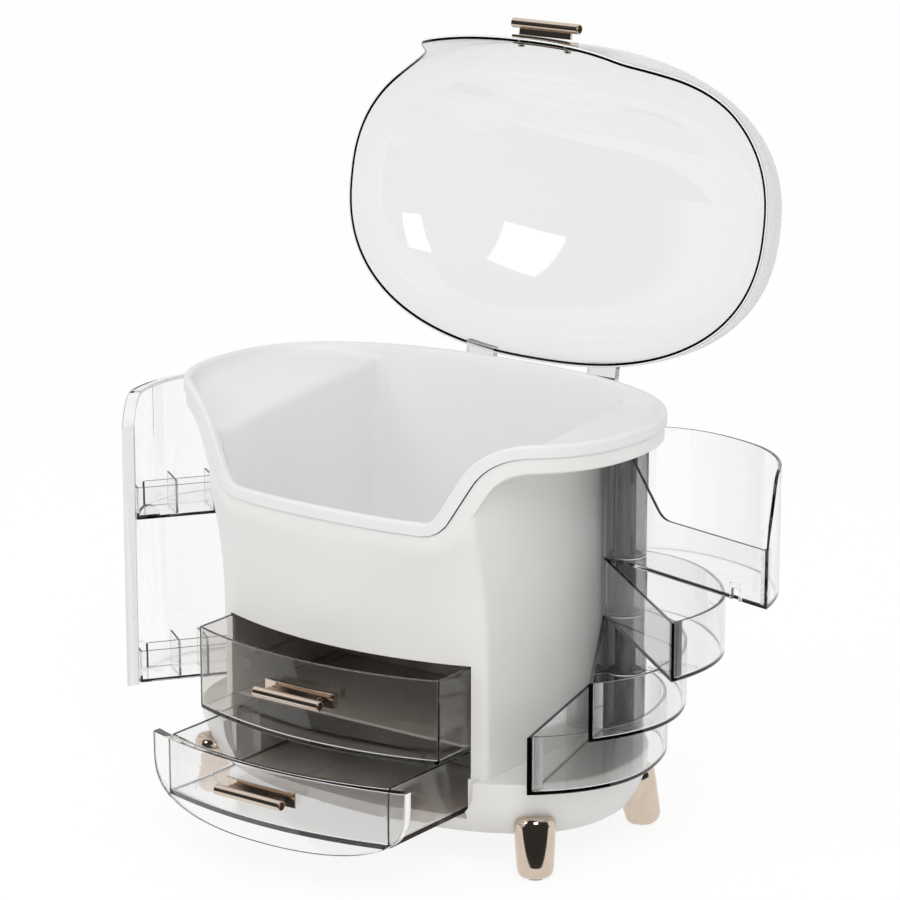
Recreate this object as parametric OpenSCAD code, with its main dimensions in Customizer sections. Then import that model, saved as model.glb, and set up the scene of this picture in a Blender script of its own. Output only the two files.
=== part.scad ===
// Dustproof makeup organizer: a white two-drawer column on a bowl-shaped plinth with four
// metal feet, an open tub on top under a clear hinged dome, a clear shelf door on the left
// and three swivel trays under a tall bin on the right.
// Millimetres. +Z up, -Y is the front, origin on the floor at the centre of the four feet.

/* [Overall] */
// Width of the tub rim, the widest part of the case
rim_width = 340; // [334:1:410]
// Depth of the tub rim from front to back
rim_depth = 216; // [208:1:262]
// Height of the tub rim above the floor, away from its dipped front
rim_top = 286.5; // [274:0.5:345]
// Squareness of the oval plan: 2 is an ellipse, larger is squarer
oval_power = 2.38; // [2.2:0.02:2.6]

/* [Front dip] */
// Depth of the dip in the front of the rim
dip_depth = 54; // [45:1:60]
// Half width of the flat bottom of the dip
dip_flat = 74; // [66:1:76]
// Steepest slope of the dip's sides, in degrees
dip_slope = 60; // [55:1:65]

/* [Case] */
// Outside width of the drawer column
column_width = 214; // [206:1:218]
// Width of the column's front beside the drawer opening
jamb_width = 9.5; // [9:0.5:15]
// Radius of the column's bowed front and back
bow_radius = 278; // [230:1:340]
// Height of the plinth's top deck above the floor
plinth_top = 62.5; // [60:0.5:68]
// Height of the plinth's underside above the floor
plinth_bottom = 25; // [22:0.5:28]
// Thickness of the white moulded walls
case_wall = 3; // [2.4:0.1:3.2]
// Height of the tub's lip
lip_height = 8.5; // [7:0.5:10]
// Height of the flange band under the lip
band_height = 10; // [8:0.5:12]

/* [Drawers] */
// Height of the upper drawer
upper_drawer_height = 56; // [46:1:60]
// Height of the lower drawer's box
lower_drawer_height = 39.5; // [34:0.5:40]
// Thickness of the drawers' clear walls
drawer_wall = 2.4; // [2:0.1:3]
// How far the upper drawer stands out
upper_drawer_out = 33.5; // [0:0.5:90]
// How far the lower drawer stands out
lower_drawer_out = 70; // [0:0.5:110]

/* [Swivel trays] */
// Distance of the tray pivot outside the column's side wall
pivot_gap = 16.5; // [16:0.5:18]
// Distance of both vertical pivots behind the centre line
pivot_y = 57; // [52:0.5:60]
// Outside radius of the tray barrels
barrel_r = 14; // [12:0.5:14]
// Thickness of the trays' clear walls
tray_wall = 2.2; // [1.8:0.1:2.6]
// Opening angle of the lower tray, in degrees
lower_tray_angle = 14.5; // [0:0.5:95]
// Opening angle of the middle tray, in degrees
middle_tray_angle = 30.5; // [0:0.5:95]
// Opening angle of the upper tray, in degrees
upper_tray_angle = 50.8; // [0:0.1:95]
// Opening angle of the bin above the trays, in degrees
bin_angle = 76.8; // [0:0.1:95]

/* [Door] */
// Opening angle of the left door, in degrees
door_angle = 36; // [0:0.5:95]
// Thickness of the door's clear shell
door_wall = 2.4; // [2:0.1:3]

/* [Lid] */
// Height of the dome above the rim
lid_height = 76; // [64:1:92]
// Thickness of the lid's clear wall
lid_wall = 2.8; // [2:0.1:3]
// Opening angle of the lid, in degrees
lid_angle = 99.5; // [0:0.5:100]

/* [Handles and feet] */
// Length of each bar handle
handle_length = 53; // [48:1:70]
// Diameter of each bar handle
handle_d = 7; // [6:0.5:8]
// Length of a foot along its own axis
foot_length = 40; // [36:1:42]
// Largest radius of a foot
foot_r = 14; // [12:0.5:14.5]
// Outward tilt of a foot, in degrees
foot_tilt = 12; // [8:1:14]

/* [Hidden] */
$fn = 48;

fit = 0.05;          // clearance of a fixed fit or a running shaft
gap = 0.3;           // clearance between separate mouldings
far = 500;           // longer than anything it cuts

// Half axes of the oval plan
half_w = rim_width / 2;
half_d = rim_depth / 2;

// Rim levels
band_inset = 1.5;                               // flange band behind the lip's edge
skirt_inset = 5.3;                              // tub skirt inside the flange band
skirt_wall = 2.3;
seam_drop = lip_height;                         // underside of the lip below the rim curve
under_drop = lip_height + band_height;          // underside of the flange band
dip_r1 = 12;                                    // rounding at the foot of the dip's side
dip_r2 = 45;                                    // rounding at its top
dip_low = rim_top - dip_depth;

// Column
half_col = column_width / 2;
col_front = 97;                                 // front and back of the column, centre line
flare = 7;                                      // sweep of front and back out to the flange
half_open = half_col - jamb_width;              // half width of the drawer opening
deck_z = plinth_top;
shelf_z = plinth_top + 15.7;                    // drawer shelf, underside
shelf_t = 2;
upper_z0 = shelf_z + shelf_t + 0.6;             // upper drawer, underside
opening_top = upper_z0 + upper_drawer_height + 1;
well_floor = opening_top + 5.5;

// Tub
tub_wall = 2.3;
shelf_sheet = 2.5;                              // thickness of the tub's side shelves
ridge_x = half_col - case_wall - gap - tub_wall;  // inner edge of each side shelf
ridge_z = rim_top - 16.7;                       // its height on the centre line
shelf_back_tilt = 5.4;                          // shelves fall towards the front
shelf_out_tilt = 10.5;                          // and towards the well
well_half = ridge_x - 7.4;                      // half width of the well's floor

// Bays
roof_z = rim_top - under_drop;                  // underside of the plate over the bays
roof_t = 2;
bay_top = roof_z - 2.4;                         // top of the bin and the door
pivot_x = half_col + pivot_gap;
tray_side = half_col + 1.5;                     // plane of the trays' straight walls
tray_inset = 4;                                 // trays' outer walls behind the rim's plan
bin_share = 0.415;                              // share of the bay's height that the bin takes
tray_pitch = (bay_top - deck_z) * (1 - bin_share) / 3;
washer_t = 1;
rod_r = 4;
sleeve_r = 7;
door_pin_r = 3;
pin_foot = deck_z - 12.3;                       // lower end of both vertical pivots
pin_head = roof_z + 5;

// Plinth
plinth_inset = 8;                               // top edge behind the rim's plan
ear_half = half_open + 4.5;                     // half width of the lower front panel
recess_front_half = half_open - 2;              // mouth of the lower drawer's recess
lower_half = half_open - 9.2;                   // half width of the lower drawer's box
recess_half = lower_half + 0.8;                 // inner recess beside that box
lower_z0 = plinth_bottom + 11.2;                // lower drawer box, underside
recess_floor = lower_z0 - 0.4;
recess_mouth_y = -62;
smile_side = 0.77;                              // how upright the lower front panel's sides are
smile_foot = 0.46;                              // how flat its foot is
recess_back = 74;

// Feet stand at the corners of this half rectangle
foot_x = 136.5 * rim_width / 340;
foot_y = 63 * rim_depth / 216;
foot_heading = 50;                              // direction of the tilt from the X axis
foot_boss_r = foot_r + 3;
foot_roof = 4;                                  // plinth moulding above a foot's pocket
foot_seat = foot_length + foot_roof;            // under the head of a foot's screw
sole_z = 1.2;                                   // underside of the metal, above the pad's face
pad_r = 5.5;
pad_t = 2.9;

// Lid
lid_steps = 96;                                 // points round the oval plan
hinge_y = half_d + 7.4;
hinge_z = rim_top - 10.8;
hinge_pin_r = 1.5;
lid_gap = 0.8;                                  // closed lid above the rim
knuckle_r = 4;
hinge_x = 50;                                   // middle of each hinge
hinge_width = 32;
hinge_pad = 3.2;                                // thickness of a bracket's pad
hinge_screw_z = hinge_z - 4.2;
knuckle_len = 4;
lug_width = hinge_width - 2 * knuckle_len - 0.8;
lug_rise = 18.5;                                // height of the lug's foot above the pin

// ---------- shared shapes ----------

function signed_pow(v, e) = sign(v) * pow(abs(v), e);

// Points of the oval plan, moved inward by inset
function oval(inset = 0, steps = lid_steps) = [
    for (i = [0 : steps - 1])
        let (t = 360 * i / steps)
        [(half_w - inset) * signed_pow(cos(t), 2 / oval_power),
         (half_d - inset) * signed_pow(sin(t), 2 / oval_power)]
];

// Half depth of the oval at a given x
function oval_depth(x, inset = 0) =
    (half_d - inset) * pow(1 - pow(min(1, abs(x) / (half_w - inset)), oval_power), 1 / oval_power);

module oval_prism(inset, z0, z1) {
    translate([0, 0, z0]) linear_extrude(z1 - z0) polygon(oval(inset));
}

// Sideways run of an S curve of two arcs and a straight between them
function s_run(rise, r1, r2, a) = (r1 + r2) * sin(a) + (rise - (r1 + r2) * (1 - cos(a))) / tan(a);

// Points of that S curve from (x, low) up to high; drop makes the parallel curve below it
function s_points(x, low, high, r1, r2, a, drop = 0, steps = 6) = concat(
    [for (i = [0 : steps]) let (t = a * i / steps)
        [x + (r1 + drop) * sin(t), low + r1 - (r1 + drop) * cos(t)]],
    [for (i = [steps : -1 : 0]) let (t = a * i / steps)
        [x + s_run(high - low, r1, r2, a) - (r2 - drop) * sin(t), high - r2 + (r2 - drop) * cos(t)]]
);

function dip_points(drop) = s_points(dip_flat, dip_low, rim_top, dip_r1, dip_r2, dip_slope, drop);

// Height of the rim curve at a given x, for the lid's edge
dip_end = dip_flat + s_run(dip_depth, dip_r1, dip_r2, dip_slope);
dip_arc1 = dip_flat + dip_r1 * sin(dip_slope);
dip_arc2 = dip_end - dip_r2 * sin(dip_slope);
function rim_height(x) = let (u = abs(x))
    u <= dip_flat ? dip_low :
    u <= dip_arc1 ? dip_low + dip_r1 - sqrt(pow(dip_r1, 2) - pow(u - dip_flat, 2)) :
    u <= dip_arc2 ? dip_low + dip_r1 * (1 - cos(dip_slope)) + (u - dip_arc1) * tan(dip_slope) :
    u <= dip_end ? rim_top - dip_r2 + sqrt(pow(dip_r2, 2) - pow(dip_end - u, 2)) :
    rim_top;

// Everything below the rim curve lowered by drop: dipped in front, level behind
module below_rim(drop) {
    side = dip_points(drop);
    left = [for (i = [len(side) - 1 : -1 : 0]) [-side[i][0], side[i][1]]];
    top = rim_top - drop;
    outline = concat([[far, 0], [-far, 0], [-far, top]], left, side, [[far, top]]);
    rotate([90, 0, 0]) linear_extrude(far) polygon(outline);
    translate([-far, 0, 0]) cube([2 * far, far, top]);
}

// Everything above the two sloping shelf planes, raised by lift
module above_shelves(lift) {
    for (side = [0, 1]) mirror([side, 0, 0])
        intersection() {
            translate([ridge_x, 0, ridge_z + lift])
                rotate([shelf_back_tilt, -shelf_out_tilt, 0])
                    translate([-far / 2, -far / 2, 0]) cube([far, far, far]);
            translate([0, -far, 0]) cube([far, 2 * far, far]);
        }
}

// Vertical solid bowed towards +Y that sweeps out by flare between the levels z0 and z1
module bow(inset, z0, z1) {
    r = bow_radius - inset;
    translate([0, col_front - bow_radius, 0]) rotate_extrude($fn = 180) polygon(concat(
        [[0, 0], [r, 0]],
        [for (t = [0 : 0.2 : 1]) [r + flare * t * t, z0 + (z1 - z0) * t]],
        [[r + flare, rim_top + 30], [0, rim_top + 30]]
    ));
}

// Plan of the column without its sides: bowed front and back
module bows(inset) {
    intersection() {
        bow(inset, roof_z - 80, roof_z);
        mirror([0, 1, 0]) bow(inset, opening_top, dip_low - under_drop);
    }
}

module slab(half, z0, z1) {
    translate([-half, -far / 2, z0]) cube([2 * half, far, z1 - z0]);
}

module column_block(inset, z0, z1) {
    intersection() {
        bows(inset);
        slab(half_col - inset, z0, z1);
    }
}

// Vertical screw, head down at the origin, shank up
module screw(length, r = 1.5, head_r = 3, head_h = 1.6) {
    cylinder(r = head_r, h = head_h);
    translate([0, 0, head_h]) cylinder(r = r, h = length);
}

// ---------- plinth ----------

// Side profile of the bowl: fraction of the height and inset of the plan there
bowl_levels = [[0, 12], [0.2, 7], [0.5, 3], [0.8, 0.8], [1, 0]];

// Solid bowl under the deck, its walls moved inward by inset
module bowl(inset, z0, z1) {
    steps = 72;
    rings = [for (l = bowl_levels)
        let (z = plinth_bottom + l[0] * (plinth_top - plinth_bottom))
        [for (p = oval(plinth_inset + l[1] + inset, steps)) [p[0], p[1], z]]];
    points = [for (ring = rings) each ring];
    last = len(rings) - 1;
    sides = [for (k = [0 : last - 1]) for (i = [0 : steps - 1])
        let (a = k * steps + i, b = k * steps + (i + 1) % steps)
        each [[a, a + steps, b], [b, a + steps, b + steps]]];
    bottom = [[for (i = [0 : steps - 1]) i]];
    top = [[for (i = [steps - 1 : -1 : 0]) last * steps + i]];
    intersection() {
        polyhedron(points, concat(sides, bottom, top));
        translate([-far / 2, -far / 2, z0]) cube([far, far, z1 - z0]);
    }
}

module at_feet() {
    for (sx = [-1, 1]) for (sy = [-1, 1])
        translate([sx * foot_x, sy * foot_y, 0])
            rotate([0, 0, atan2(sy * sin(foot_heading), sx * cos(foot_heading))])
                rotate([0, -foot_tilt, 0]) children();
}

// Recess of the lower drawer, its walls moved outward by grow
module recess(grow) {
    translate([-recess_front_half - grow, -far, recess_floor - grow])
        cube([2 * (recess_front_half + grow), far + recess_mouth_y + grow, far]);
    translate([-recess_half - grow, recess_mouth_y - 1, recess_floor - grow])
        cube([2 * (recess_half + grow), recess_back - recess_mouth_y + 1 + grow, far]);
}

base_t = 2.5;                                   // thickness of the base plate
base_z = plinth_bottom + 2;                     // its underside, recessed for the screw heads
base_boss_at = [[-141, 0], [141, 0], [-45, -74], [45, -74], [-45, 76], [45, 76]];

module base_bosses(r, z0, z1) {
    for (p = base_boss_at)
        translate([p[0] * rim_width / 340, p[1] * rim_depth / 216, z0]) cylinder(r = r, h = z1 - z0);
}

// Outline of the lower drawer's front panel, grown by grow: straight top, smiling foot
module smile(grow) {
    half = ear_half + grow;
    top = lower_z0 + lower_drawer_height;
    drop = top - plinth_bottom - 0.3 + grow;
    polygon(concat(
        [[-half, top + 20], [half, top + 20]],
        [for (t = [0 : -7.5 : -180])
            [half * signed_pow(cos(t), smile_side), top + drop * signed_pow(sin(t), smile_foot)]]
    ));
}

module plinth_shell() {
    plate = plinth_top - case_wall;
    color("white") difference() {
        bowl(0, plinth_bottom, plinth_top);
        difference() {
            bowl(case_wall, plinth_bottom - 1, plate);
            recess(case_wall - 0.5);
            base_bosses(4.5, base_z + base_t + 0.1, plate + 1);
            at_feet() translate([0, 0, plinth_bottom + case_wall])
                cylinder(r = foot_boss_r, h = foot_seat + 6 - plinth_bottom - case_wall);
            for (sx = [-1, 1]) translate([sx * pivot_x, pivot_y, pin_foot - 4]) cylinder(r = 9, h = 20);
        }
        recess(0);
        difference() {
            rotate([90, 0, 0]) linear_extrude(far) smile(0.8);
            translate([0, bow_radius - lower_box_front + 0.6, 0])
                cylinder(r = bow_radius, h = far, $fn = 180);
        }
        base_bosses(1.25, base_z, base_z + 7);
        at_column_screws() translate([0, 0, plate - 1]) cylinder(r = 1.7, h = 10);
        at_feet() foot_body(0.12);
        at_feet() translate([0, 0, foot_length / 2]) cylinder(r = foot_screw_r + 0.4, h = foot_length);
        at_feet() translate([0, 0, foot_seat]) cylinder(r = foot_screw_head_r + 1, h = 40);
        translate([pivot_x, pivot_y, pin_foot - 0.2]) cylinder(r = rod_r + fit, h = 20);
        translate([-pivot_x, pivot_y, pin_foot - 0.2]) cylinder(r = door_pin_r + fit, h = 20);
    }
}

module base_plate() {
    color("whitesmoke") difference() {
        bowl(case_wall + gap, base_z, base_z + base_t);
        base_bosses(1.7, base_z - 1, base_z + 4);
        at_feet() cylinder(r = foot_boss_r + gap, h = 60);
    }
}

module base_plate_screws() {
    color("silver") for (p = base_boss_at)
        translate([p[0] * rim_width / 340, p[1] * rim_depth / 216, base_z - 1.6])
            screw(6, 1.2, 2.8);
}

foot_screw_r = 1.6;
foot_screw_head_r = 3.2;

module at_pads() {
    for (sx = [-1, 1]) for (sy = [-1, 1]) translate([sx * foot_x, sy * foot_y, 0]) children();
}

// One foot along +Z, grown by grow for its pocket
module foot_body(grow = 0) {
    r_low = foot_r - 2.5 + grow;
    r_high = foot_r + grow;
    round_low = 8;
    round_high = 7;
    rotate_extrude() polygon(concat(
        [[0, -grow]],
        [for (t = [0 : 15 : 90])
            [r_low - round_low + round_low * sin(t), round_low - grow - round_low * cos(t)]],
        [for (t = [0 : 15 : 90])
            [r_high - round_high + round_high * cos(t),
             foot_length + grow - round_high + round_high * sin(t)]],
        [[0, foot_length + grow]]
    ));
}

module feet() {
    color("rosybrown") difference() {
        intersection() {
            at_feet() foot_body();
            translate([-far / 2, -far / 2, sole_z]) cube([far, far, far]);
        }
        at_feet() translate([0, 0, foot_length - 14]) cylinder(r = foot_screw_r + fit, h = 20);
        at_pads() cylinder(r = pad_r + fit, h = pad_t + 0.1);
    }
}

module foot_screws() {
    head_h = 1.6;
    color("silver") at_feet() translate([0, 0, foot_seat + head_h]) mirror([0, 0, 1])
        screw(16, foot_screw_r, foot_screw_head_r, head_h);
}

module foot_pads() {
    color("gainsboro") at_pads() cylinder(r = pad_r, h = pad_t);
}

// ---------- column ----------

// Screws that hold the column down on the plinth
module at_column_screws() {
    for (sx = [-1, 1]) for (y = [-50, 50])
        translate([sx * (half_col - case_wall - 3), y, 0]) children();
}

module column_screws() {
    color("silver") at_column_screws() translate([0, 0, plinth_top - case_wall - 1.6]) screw(11, 1.2, 2.8);
}

// Panel over the access opening in the column's back
back_panel_half = 94;
back_panel_t = 2.5;
back_panel_low = deck_z + 3.5;
back_panel_high = opening_top + 4.2;
back_rim = 8;                                   // from the panel's edge to its screws
back_window_half = 76;

// Outward direction of the column's back at a given x
function back_normal(x) = asin(x / bow_radius);

module at_back_screws() {
    x = back_panel_half - back_rim - 2;
    for (sx = [-1, 1]) for (z = [back_panel_low + back_rim, back_panel_high - back_rim])
        translate([0, col_front - bow_radius, z]) rotate([0, 0, -back_normal(sx * x)])
            translate([0, bow_radius, 0]) children();
}

// Room that the tub takes, grown by grow: inside the column, and inside the flange beside it
module tub_room(grow) {
    intersection() {
        oval_prism(skirt_inset - grow, 100, rim_top + 30);
        union() {
            bows(case_wall + gap - grow);
            difference() {
                slab(far / 2, 100, rim_top + 30);
                slab(half_col + gap - grow, 0, rim_top + 40);
            }
        }
    }
}

// Flange: a rim band with a thin plate over the bays, dipping in front like the rim above it
module flange() {
    difference() {
        intersection() {
            oval_prism(band_inset, 150, rim_top);
            below_rim(seam_drop + fit);
        }
        below_rim(under_drop);
        difference() {
            oval_prism(skirt_inset - gap, 100, rim_top + 1);
            below_rim(under_drop - roof_t);
            slab(half_col, 0, rim_top + 2);
        }
    }
    for (sx = [-1, 1])
        translate([sx * pivot_x, pivot_y, roof_z]) cylinder(r = 8, h = 6);
}

module column_shell() {
    color("white") difference() {
        union() {
            difference() {
                column_block(0, plinth_top, rim_top - seam_drop);
                slab(far / 2, rim_top - under_drop + 2, rim_top);
            }
            flange();
        }
        difference() {
            column_block(case_wall, plinth_top - 1, rim_top + 1);
            at_back_screws() translate([0, -8, 0]) rotate([-90, 0, 0]) cylinder(r = 4, h = 8);
            at_column_screws() translate([0, 0, plinth_top - 2]) cylinder(r = 3.3, h = 12);
        }
        intersection() {
            tub_room(gap);
            above_shelves(-shelf_sheet - gap);
        }
        difference() {
            slab(far / 2, 150, far);
            below_rim(seam_drop + fit);
        }
        translate([-half_open, -far, 0]) cube([2 * half_open, far, opening_top]);
        translate([-back_window_half, col_front - 30, back_panel_low + 4])
            cube([2 * back_window_half, 60, back_panel_high - back_panel_low - 14]);
        at_back_screws() translate([0, -20, 0]) rotate([-90, 0, 0]) cylinder(r = 1.2, h = 40);
        at_column_screws() cylinder(r = 1.2, h = plinth_top + 9);
        hinge_screw_holes(1.2);
        translate([pivot_x, pivot_y, roof_z - 1]) cylinder(r = rod_r + fit, h = 20);
        translate([-pivot_x, pivot_y, roof_z - 1]) cylinder(r = door_pin_r + fit, h = 20);
    }
}

module back_panel() {
    color("white") difference() {
        intersection() {
            translate([0, col_front - bow_radius, 0])
                cylinder(r = bow_radius + back_panel_t, h = far, $fn = 180);
            translate([-back_panel_half, 0, back_panel_low])
                cube([2 * back_panel_half, far, back_panel_high - back_panel_low]);
        }
        translate([0, col_front - bow_radius, -1])
            cylinder(r = bow_radius + fit, h = far + 2, $fn = 180);
        at_back_screws() translate([0, -10, 0]) rotate([-90, 0, 0]) cylinder(r = 1.6, h = 40);
    }
}

module back_panel_screws() {
    head_h = 1.6;
    color("silver") at_back_screws() translate([0, back_panel_t + head_h, 0]) rotate([90, 0, 0])
        screw(9, 1.15, 2.8, head_h);
}

module drawer_shelf() {
    color("white") intersection() {
        column_block(case_wall + fit, shelf_z, shelf_z + shelf_t);
        translate([-far / 2, -73, 0]) cube([far, 73 + guide_back + 10, far]);
    }
}

// Strips on the column's side walls that guide the upper drawer and carry the shelf
guide_back = 60;
guide_w = half_col - case_wall - fit - (half_open + 0.95);   // clears the upper drawer's sides

module drawer_guides() {
    color("whitesmoke") for (side = [0, 1]) mirror([side, 0, 0])
        translate([half_open + 0.95, -guide_back, 0]) {
            translate([0, 0, upper_z0 + 12]) cube([guide_w, 2 * guide_back, 8]);
            translate([0, 0, shelf_z - 4]) cube([guide_w, 2 * guide_back, 4]);
        }
}

// ---------- tub ----------

module tub_lip() {
    difference() {
        intersection() {
            oval_prism(0, 150, rim_top + 1);
            below_rim(0);
        }
        below_rim(seam_drop);
    }
}

// The well's drafted sides, moved outward by grow
module well_sides(grow) {
    z0 = well_floor - 4;
    z1 = ridge_z + 30;
    draft = (ridge_x - well_half) / (ridge_z - well_floor);
    low = well_half + grow - 4 * draft;
    high = ridge_x + grow + 30 * draft;
    rotate([90, 0, 0]) translate([0, 0, -far / 2]) linear_extrude(far)
        polygon([[-low, z0], [low, z0], [high, z1], [-high, z1]]);
}

module top_tub() {
    color("white") difference() {
        union() {
            tub_lip();
            intersection() {
                tub_room(0);
                below_rim(0);
                above_shelves(-shelf_sheet);
            }
            intersection() {
                column_block(case_wall + gap, well_floor - tub_wall, rim_top);
                well_sides(tub_wall);
                below_rim(0);
            }
        }
        difference() {
            intersection() {
                oval_prism(skirt_inset + skirt_wall, 150, rim_top + 20);
                above_shelves(0);
            }
            slab(ridge_x - 2, 0, rim_top + 30);
        }
        intersection() {
            oval_prism(skirt_inset + skirt_wall, 100, rim_top + 20);
            column_block(case_wall + gap + tub_wall, well_floor, rim_top + 20);
            well_sides(0);
        }
    }
}

// ---------- lid ----------

// Shows its children at the lid's opening angle about the hinge axis
module lid_open() {
    translate([0, hinge_y, hinge_z]) rotate([-lid_angle, 0, 0]) translate([0, -hinge_y, -hinge_z])
        children();
}

lid_rings = 9;
dome_power = 2.45;                              // squareness of the dome's section
dome_front_power = 2;                           // and of its front half

// Ring k of a dome surface; ring 0 follows the rim curve
function lid_ring(k, inset, height) =
    let (t = k == 0 ? 0 : 90 * (k - 1) / (lid_rings - 0.6), h = height * signed_pow(sin(t), 2 / dome_power),
         s = signed_pow(cos(t), 2 / dome_power),
         front = pow(1 - pow(h / height, dome_front_power), 1 / dome_front_power))
    [for (p = oval(inset, lid_steps))
        [p[0] * s, p[1] * (p[1] < 0 ? front : s),
         k == 0 ? (p[1] < -0.01 ? rim_height(p[0]) : rim_top) + lid_gap : rim_top + 1.5 + h]];

module lid_dome() {
    n = lid_steps;
    outer = [for (k = [0 : lid_rings]) each lid_ring(k, 0, lid_height)];
    inner = [for (k = [0 : lid_rings]) each lid_ring(k, lid_wall, lid_height - lid_wall)];
    m = len(outer);
    outer_faces = [for (k = [0 : lid_rings - 1]) for (i = [0 : n - 1])
        let (a = k * n + i, b = k * n + (i + 1) % n) each [[a, a + n, b], [b, a + n, b + n]]];
    inner_faces = [for (f = outer_faces) [f[0] + m, f[2] + m, f[1] + m]];
    edge = [for (i = [0 : n - 1]) let (j = (i + 1) % n) each [[i, j, m + i], [j, m + j, m + i]]];
    cap_outer = [[for (i = [n - 1 : -1 : 0]) lid_rings * n + i]];
    cap_inner = [[for (i = [0 : n - 1]) m + lid_rings * n + i]];
    polyhedron(concat(outer, inner), concat(outer_faces, inner_faces, edge, cap_outer, cap_inner));
}

lid_handle_z = dip_low + 9;
lid_handle_x = 14;                              // the handle sits right of the centre line
lid_screw_x = 18.5;                             // its screws from its own middle
lid_screw_r = 1.25;
lid_strip_t = 2;                                // strip outside the lid
lid_plate_t = 1.2;                              // plate inside it
lid_rib = 4;                                    // from the strip to the bar

module lid_screw_holes(r) {
    for (sx = [-1, 1])
        translate([lid_handle_x + sx * lid_screw_x, -half_d - 8, lid_handle_z]) rotate([-90, 0, 0])
            cylinder(r = r, h = 16);
}

// Arms moulded on the lid's back edge, one round each hinge pin
module hinge_lugs() {
    for (sx = [-1, 1])
        translate([sx * hinge_x - lug_width / 2, 0, 0]) rotate([90, 0, 90]) linear_extrude(lug_width)
            difference() {
                union() {
                    translate([hinge_y, hinge_z]) circle(r = knuckle_r);
                    translate([hinge_y - 1, hinge_z]) square([5, lug_rise + 5]);
                    translate([hinge_y - 20, hinge_z + lug_rise]) square([20, 5]);
                }
                translate([hinge_y, hinge_z]) circle(r = hinge_pin_r + fit);
            }
}

module lid_shell() {
    color("azure", 0.35) lid_open() difference() {
        union() {
            lid_dome();
            difference() {
                hinge_lugs();
                oval_prism(lid_wall - 0.6, 0, rim_top + 60);
            }
        }
        lid_screw_holes(1.3);
    }
}

// Curved strip on the lid's front, as thick as t, with its near face inset from the rim's plan
module lid_band(inset, t, half_length) {
    translate([lid_handle_x, 0, 0]) intersection() {
        translate([-lid_handle_x, 0, 0]) difference() {
            oval_prism(inset, lid_handle_z - 5, lid_handle_z + 5);
            oval_prism(inset + t, 0, rim_top);
        }
        translate([-half_length, -far, 0]) cube([2 * half_length, far, far]);
    }
}

module lid_handle_strip() {
    color("rosybrown") lid_open() difference() {
        lid_band(-lid_strip_t - fit, lid_strip_t, handle_length / 2 - 3);
        lid_screw_holes(lid_screw_r);
    }
}

module bar(length, r) {
    rotate([0, 90, 0]) difference() {
        translate([0, 0, -length / 2]) cylinder(r = r, h = length);
        for (side = [0, 1]) mirror([0, 0, side]) translate([0, 0, length / 2 - 6]) cylinder(r = r - 1, h = 10);
    }
}

// Bar of the lid's handle with the rib that joins it to the strip
module lid_handle_bar() {
    face = half_d + fit + lid_strip_t + fit;
    color("rosybrown") lid_open() difference() {
        translate([lid_handle_x, -face, lid_handle_z]) {
            translate([0, -lid_rib - handle_d / 2, 0]) bar(handle_length, handle_d / 2);
            translate([-handle_length / 2 + 6, -lid_rib - 2, -1]) cube([handle_length - 12, lid_rib + 2, 2]);
        }
        lid_screw_holes(3.4);
    }
}

module lid_handle_inner_plate() {
    color("rosybrown") lid_open() difference() {
        lid_band(lid_wall + fit, lid_plate_t, lid_screw_x + 3.5);
        lid_screw_holes(1.5);
        for (sx = [-1, 1])
            translate([lid_handle_x + sx * 10 - 4, -half_d, lid_handle_z - 1]) cube([8, 9, 2]);
    }
}

module lid_handle_screws() {
    head_r = 2.4;
    head_h = 1.6;
    color("silver") lid_open() for (sx = [-1, 1])
        let (x = lid_handle_x + sx * lid_screw_x,
             seat = -oval_depth(abs(x) + head_r, lid_wall + fit + lid_plate_t))
        translate([x, seat + head_h + fit, lid_handle_z]) rotate([90, 0, 0])
            screw(6.2, lid_screw_r, head_r, head_h);
}

module at_hinges() {
    for (sx = [-1, 1]) translate([sx * hinge_x, 0, 0]) children();
}

// Pad against the flange band with two arms that hold the pin
module lid_hinge_brackets() {
    low = hinge_z - 6.5;
    color("white") difference() {
        at_hinges() {
            for (x = [-hinge_width / 2, hinge_width / 2 - knuckle_len])
                translate([x, 0, 0]) rotate([90, 0, 90]) linear_extrude(knuckle_len) {
                    translate([hinge_y, hinge_z]) circle(r = knuckle_r);
                    translate([hinge_y - 20, low]) square([20, 6.5]);
                }
            translate([-hinge_width / 2, hinge_y - 20, low])
                cube([hinge_width, oval_depth(hinge_x, band_inset - hinge_pad) - hinge_y + 20, 7.5]);
        }
        at_hinges() translate([0, hinge_y, hinge_z]) rotate([0, 90, 0])
            cylinder(r = hinge_pin_r + fit / 2, h = hinge_width + 2, center = true);
        oval_prism(band_inset - fit, 150, rim_top);
        hinge_screw_holes(1.2);
    }
}

module lid_hinge_pins() {
    color("silver") at_hinges() translate([0, hinge_y, hinge_z]) rotate([0, 90, 0])
        cylinder(r = hinge_pin_r, h = hinge_width, center = true);
}

module hinge_screw_holes(r) {
    at_hinges() translate([0, half_d - 20, hinge_screw_z]) rotate([-90, 0, 0]) cylinder(r = r, h = 40);
}

module hinge_bracket_screws() {
    head = 1.2;
    color("silver") at_hinges()
        translate([0, oval_depth(hinge_x, band_inset - hinge_pad) + head, hinge_screw_z])
            rotate([90, 0, 0]) screw(5, 1.15, 2, head);
}

// ---------- drawers ----------

// Rounded bow in plan from the front face back by depth, between half widths
module bowed_slab(front, back_y, half, inset, z0, z1) {
    intersection() {
        translate([-half + inset, -far, z0]) cube([2 * (half - inset), far + back_y - inset, z1 - z0]);
        translate([0, bow_radius - front, z0 - 1])
            cylinder(r = bow_radius - inset, h = z1 - z0 + 2, $fn = 180);
    }
}

module bowed_box(front, back_y, half, z0, height, wall) {
    difference() {
        bowed_slab(front, back_y, half, 0, z0, z0 + height);
        bowed_slab(front, back_y, half, wall, z0 + wall, z0 + height + 5);
    }
}

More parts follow.
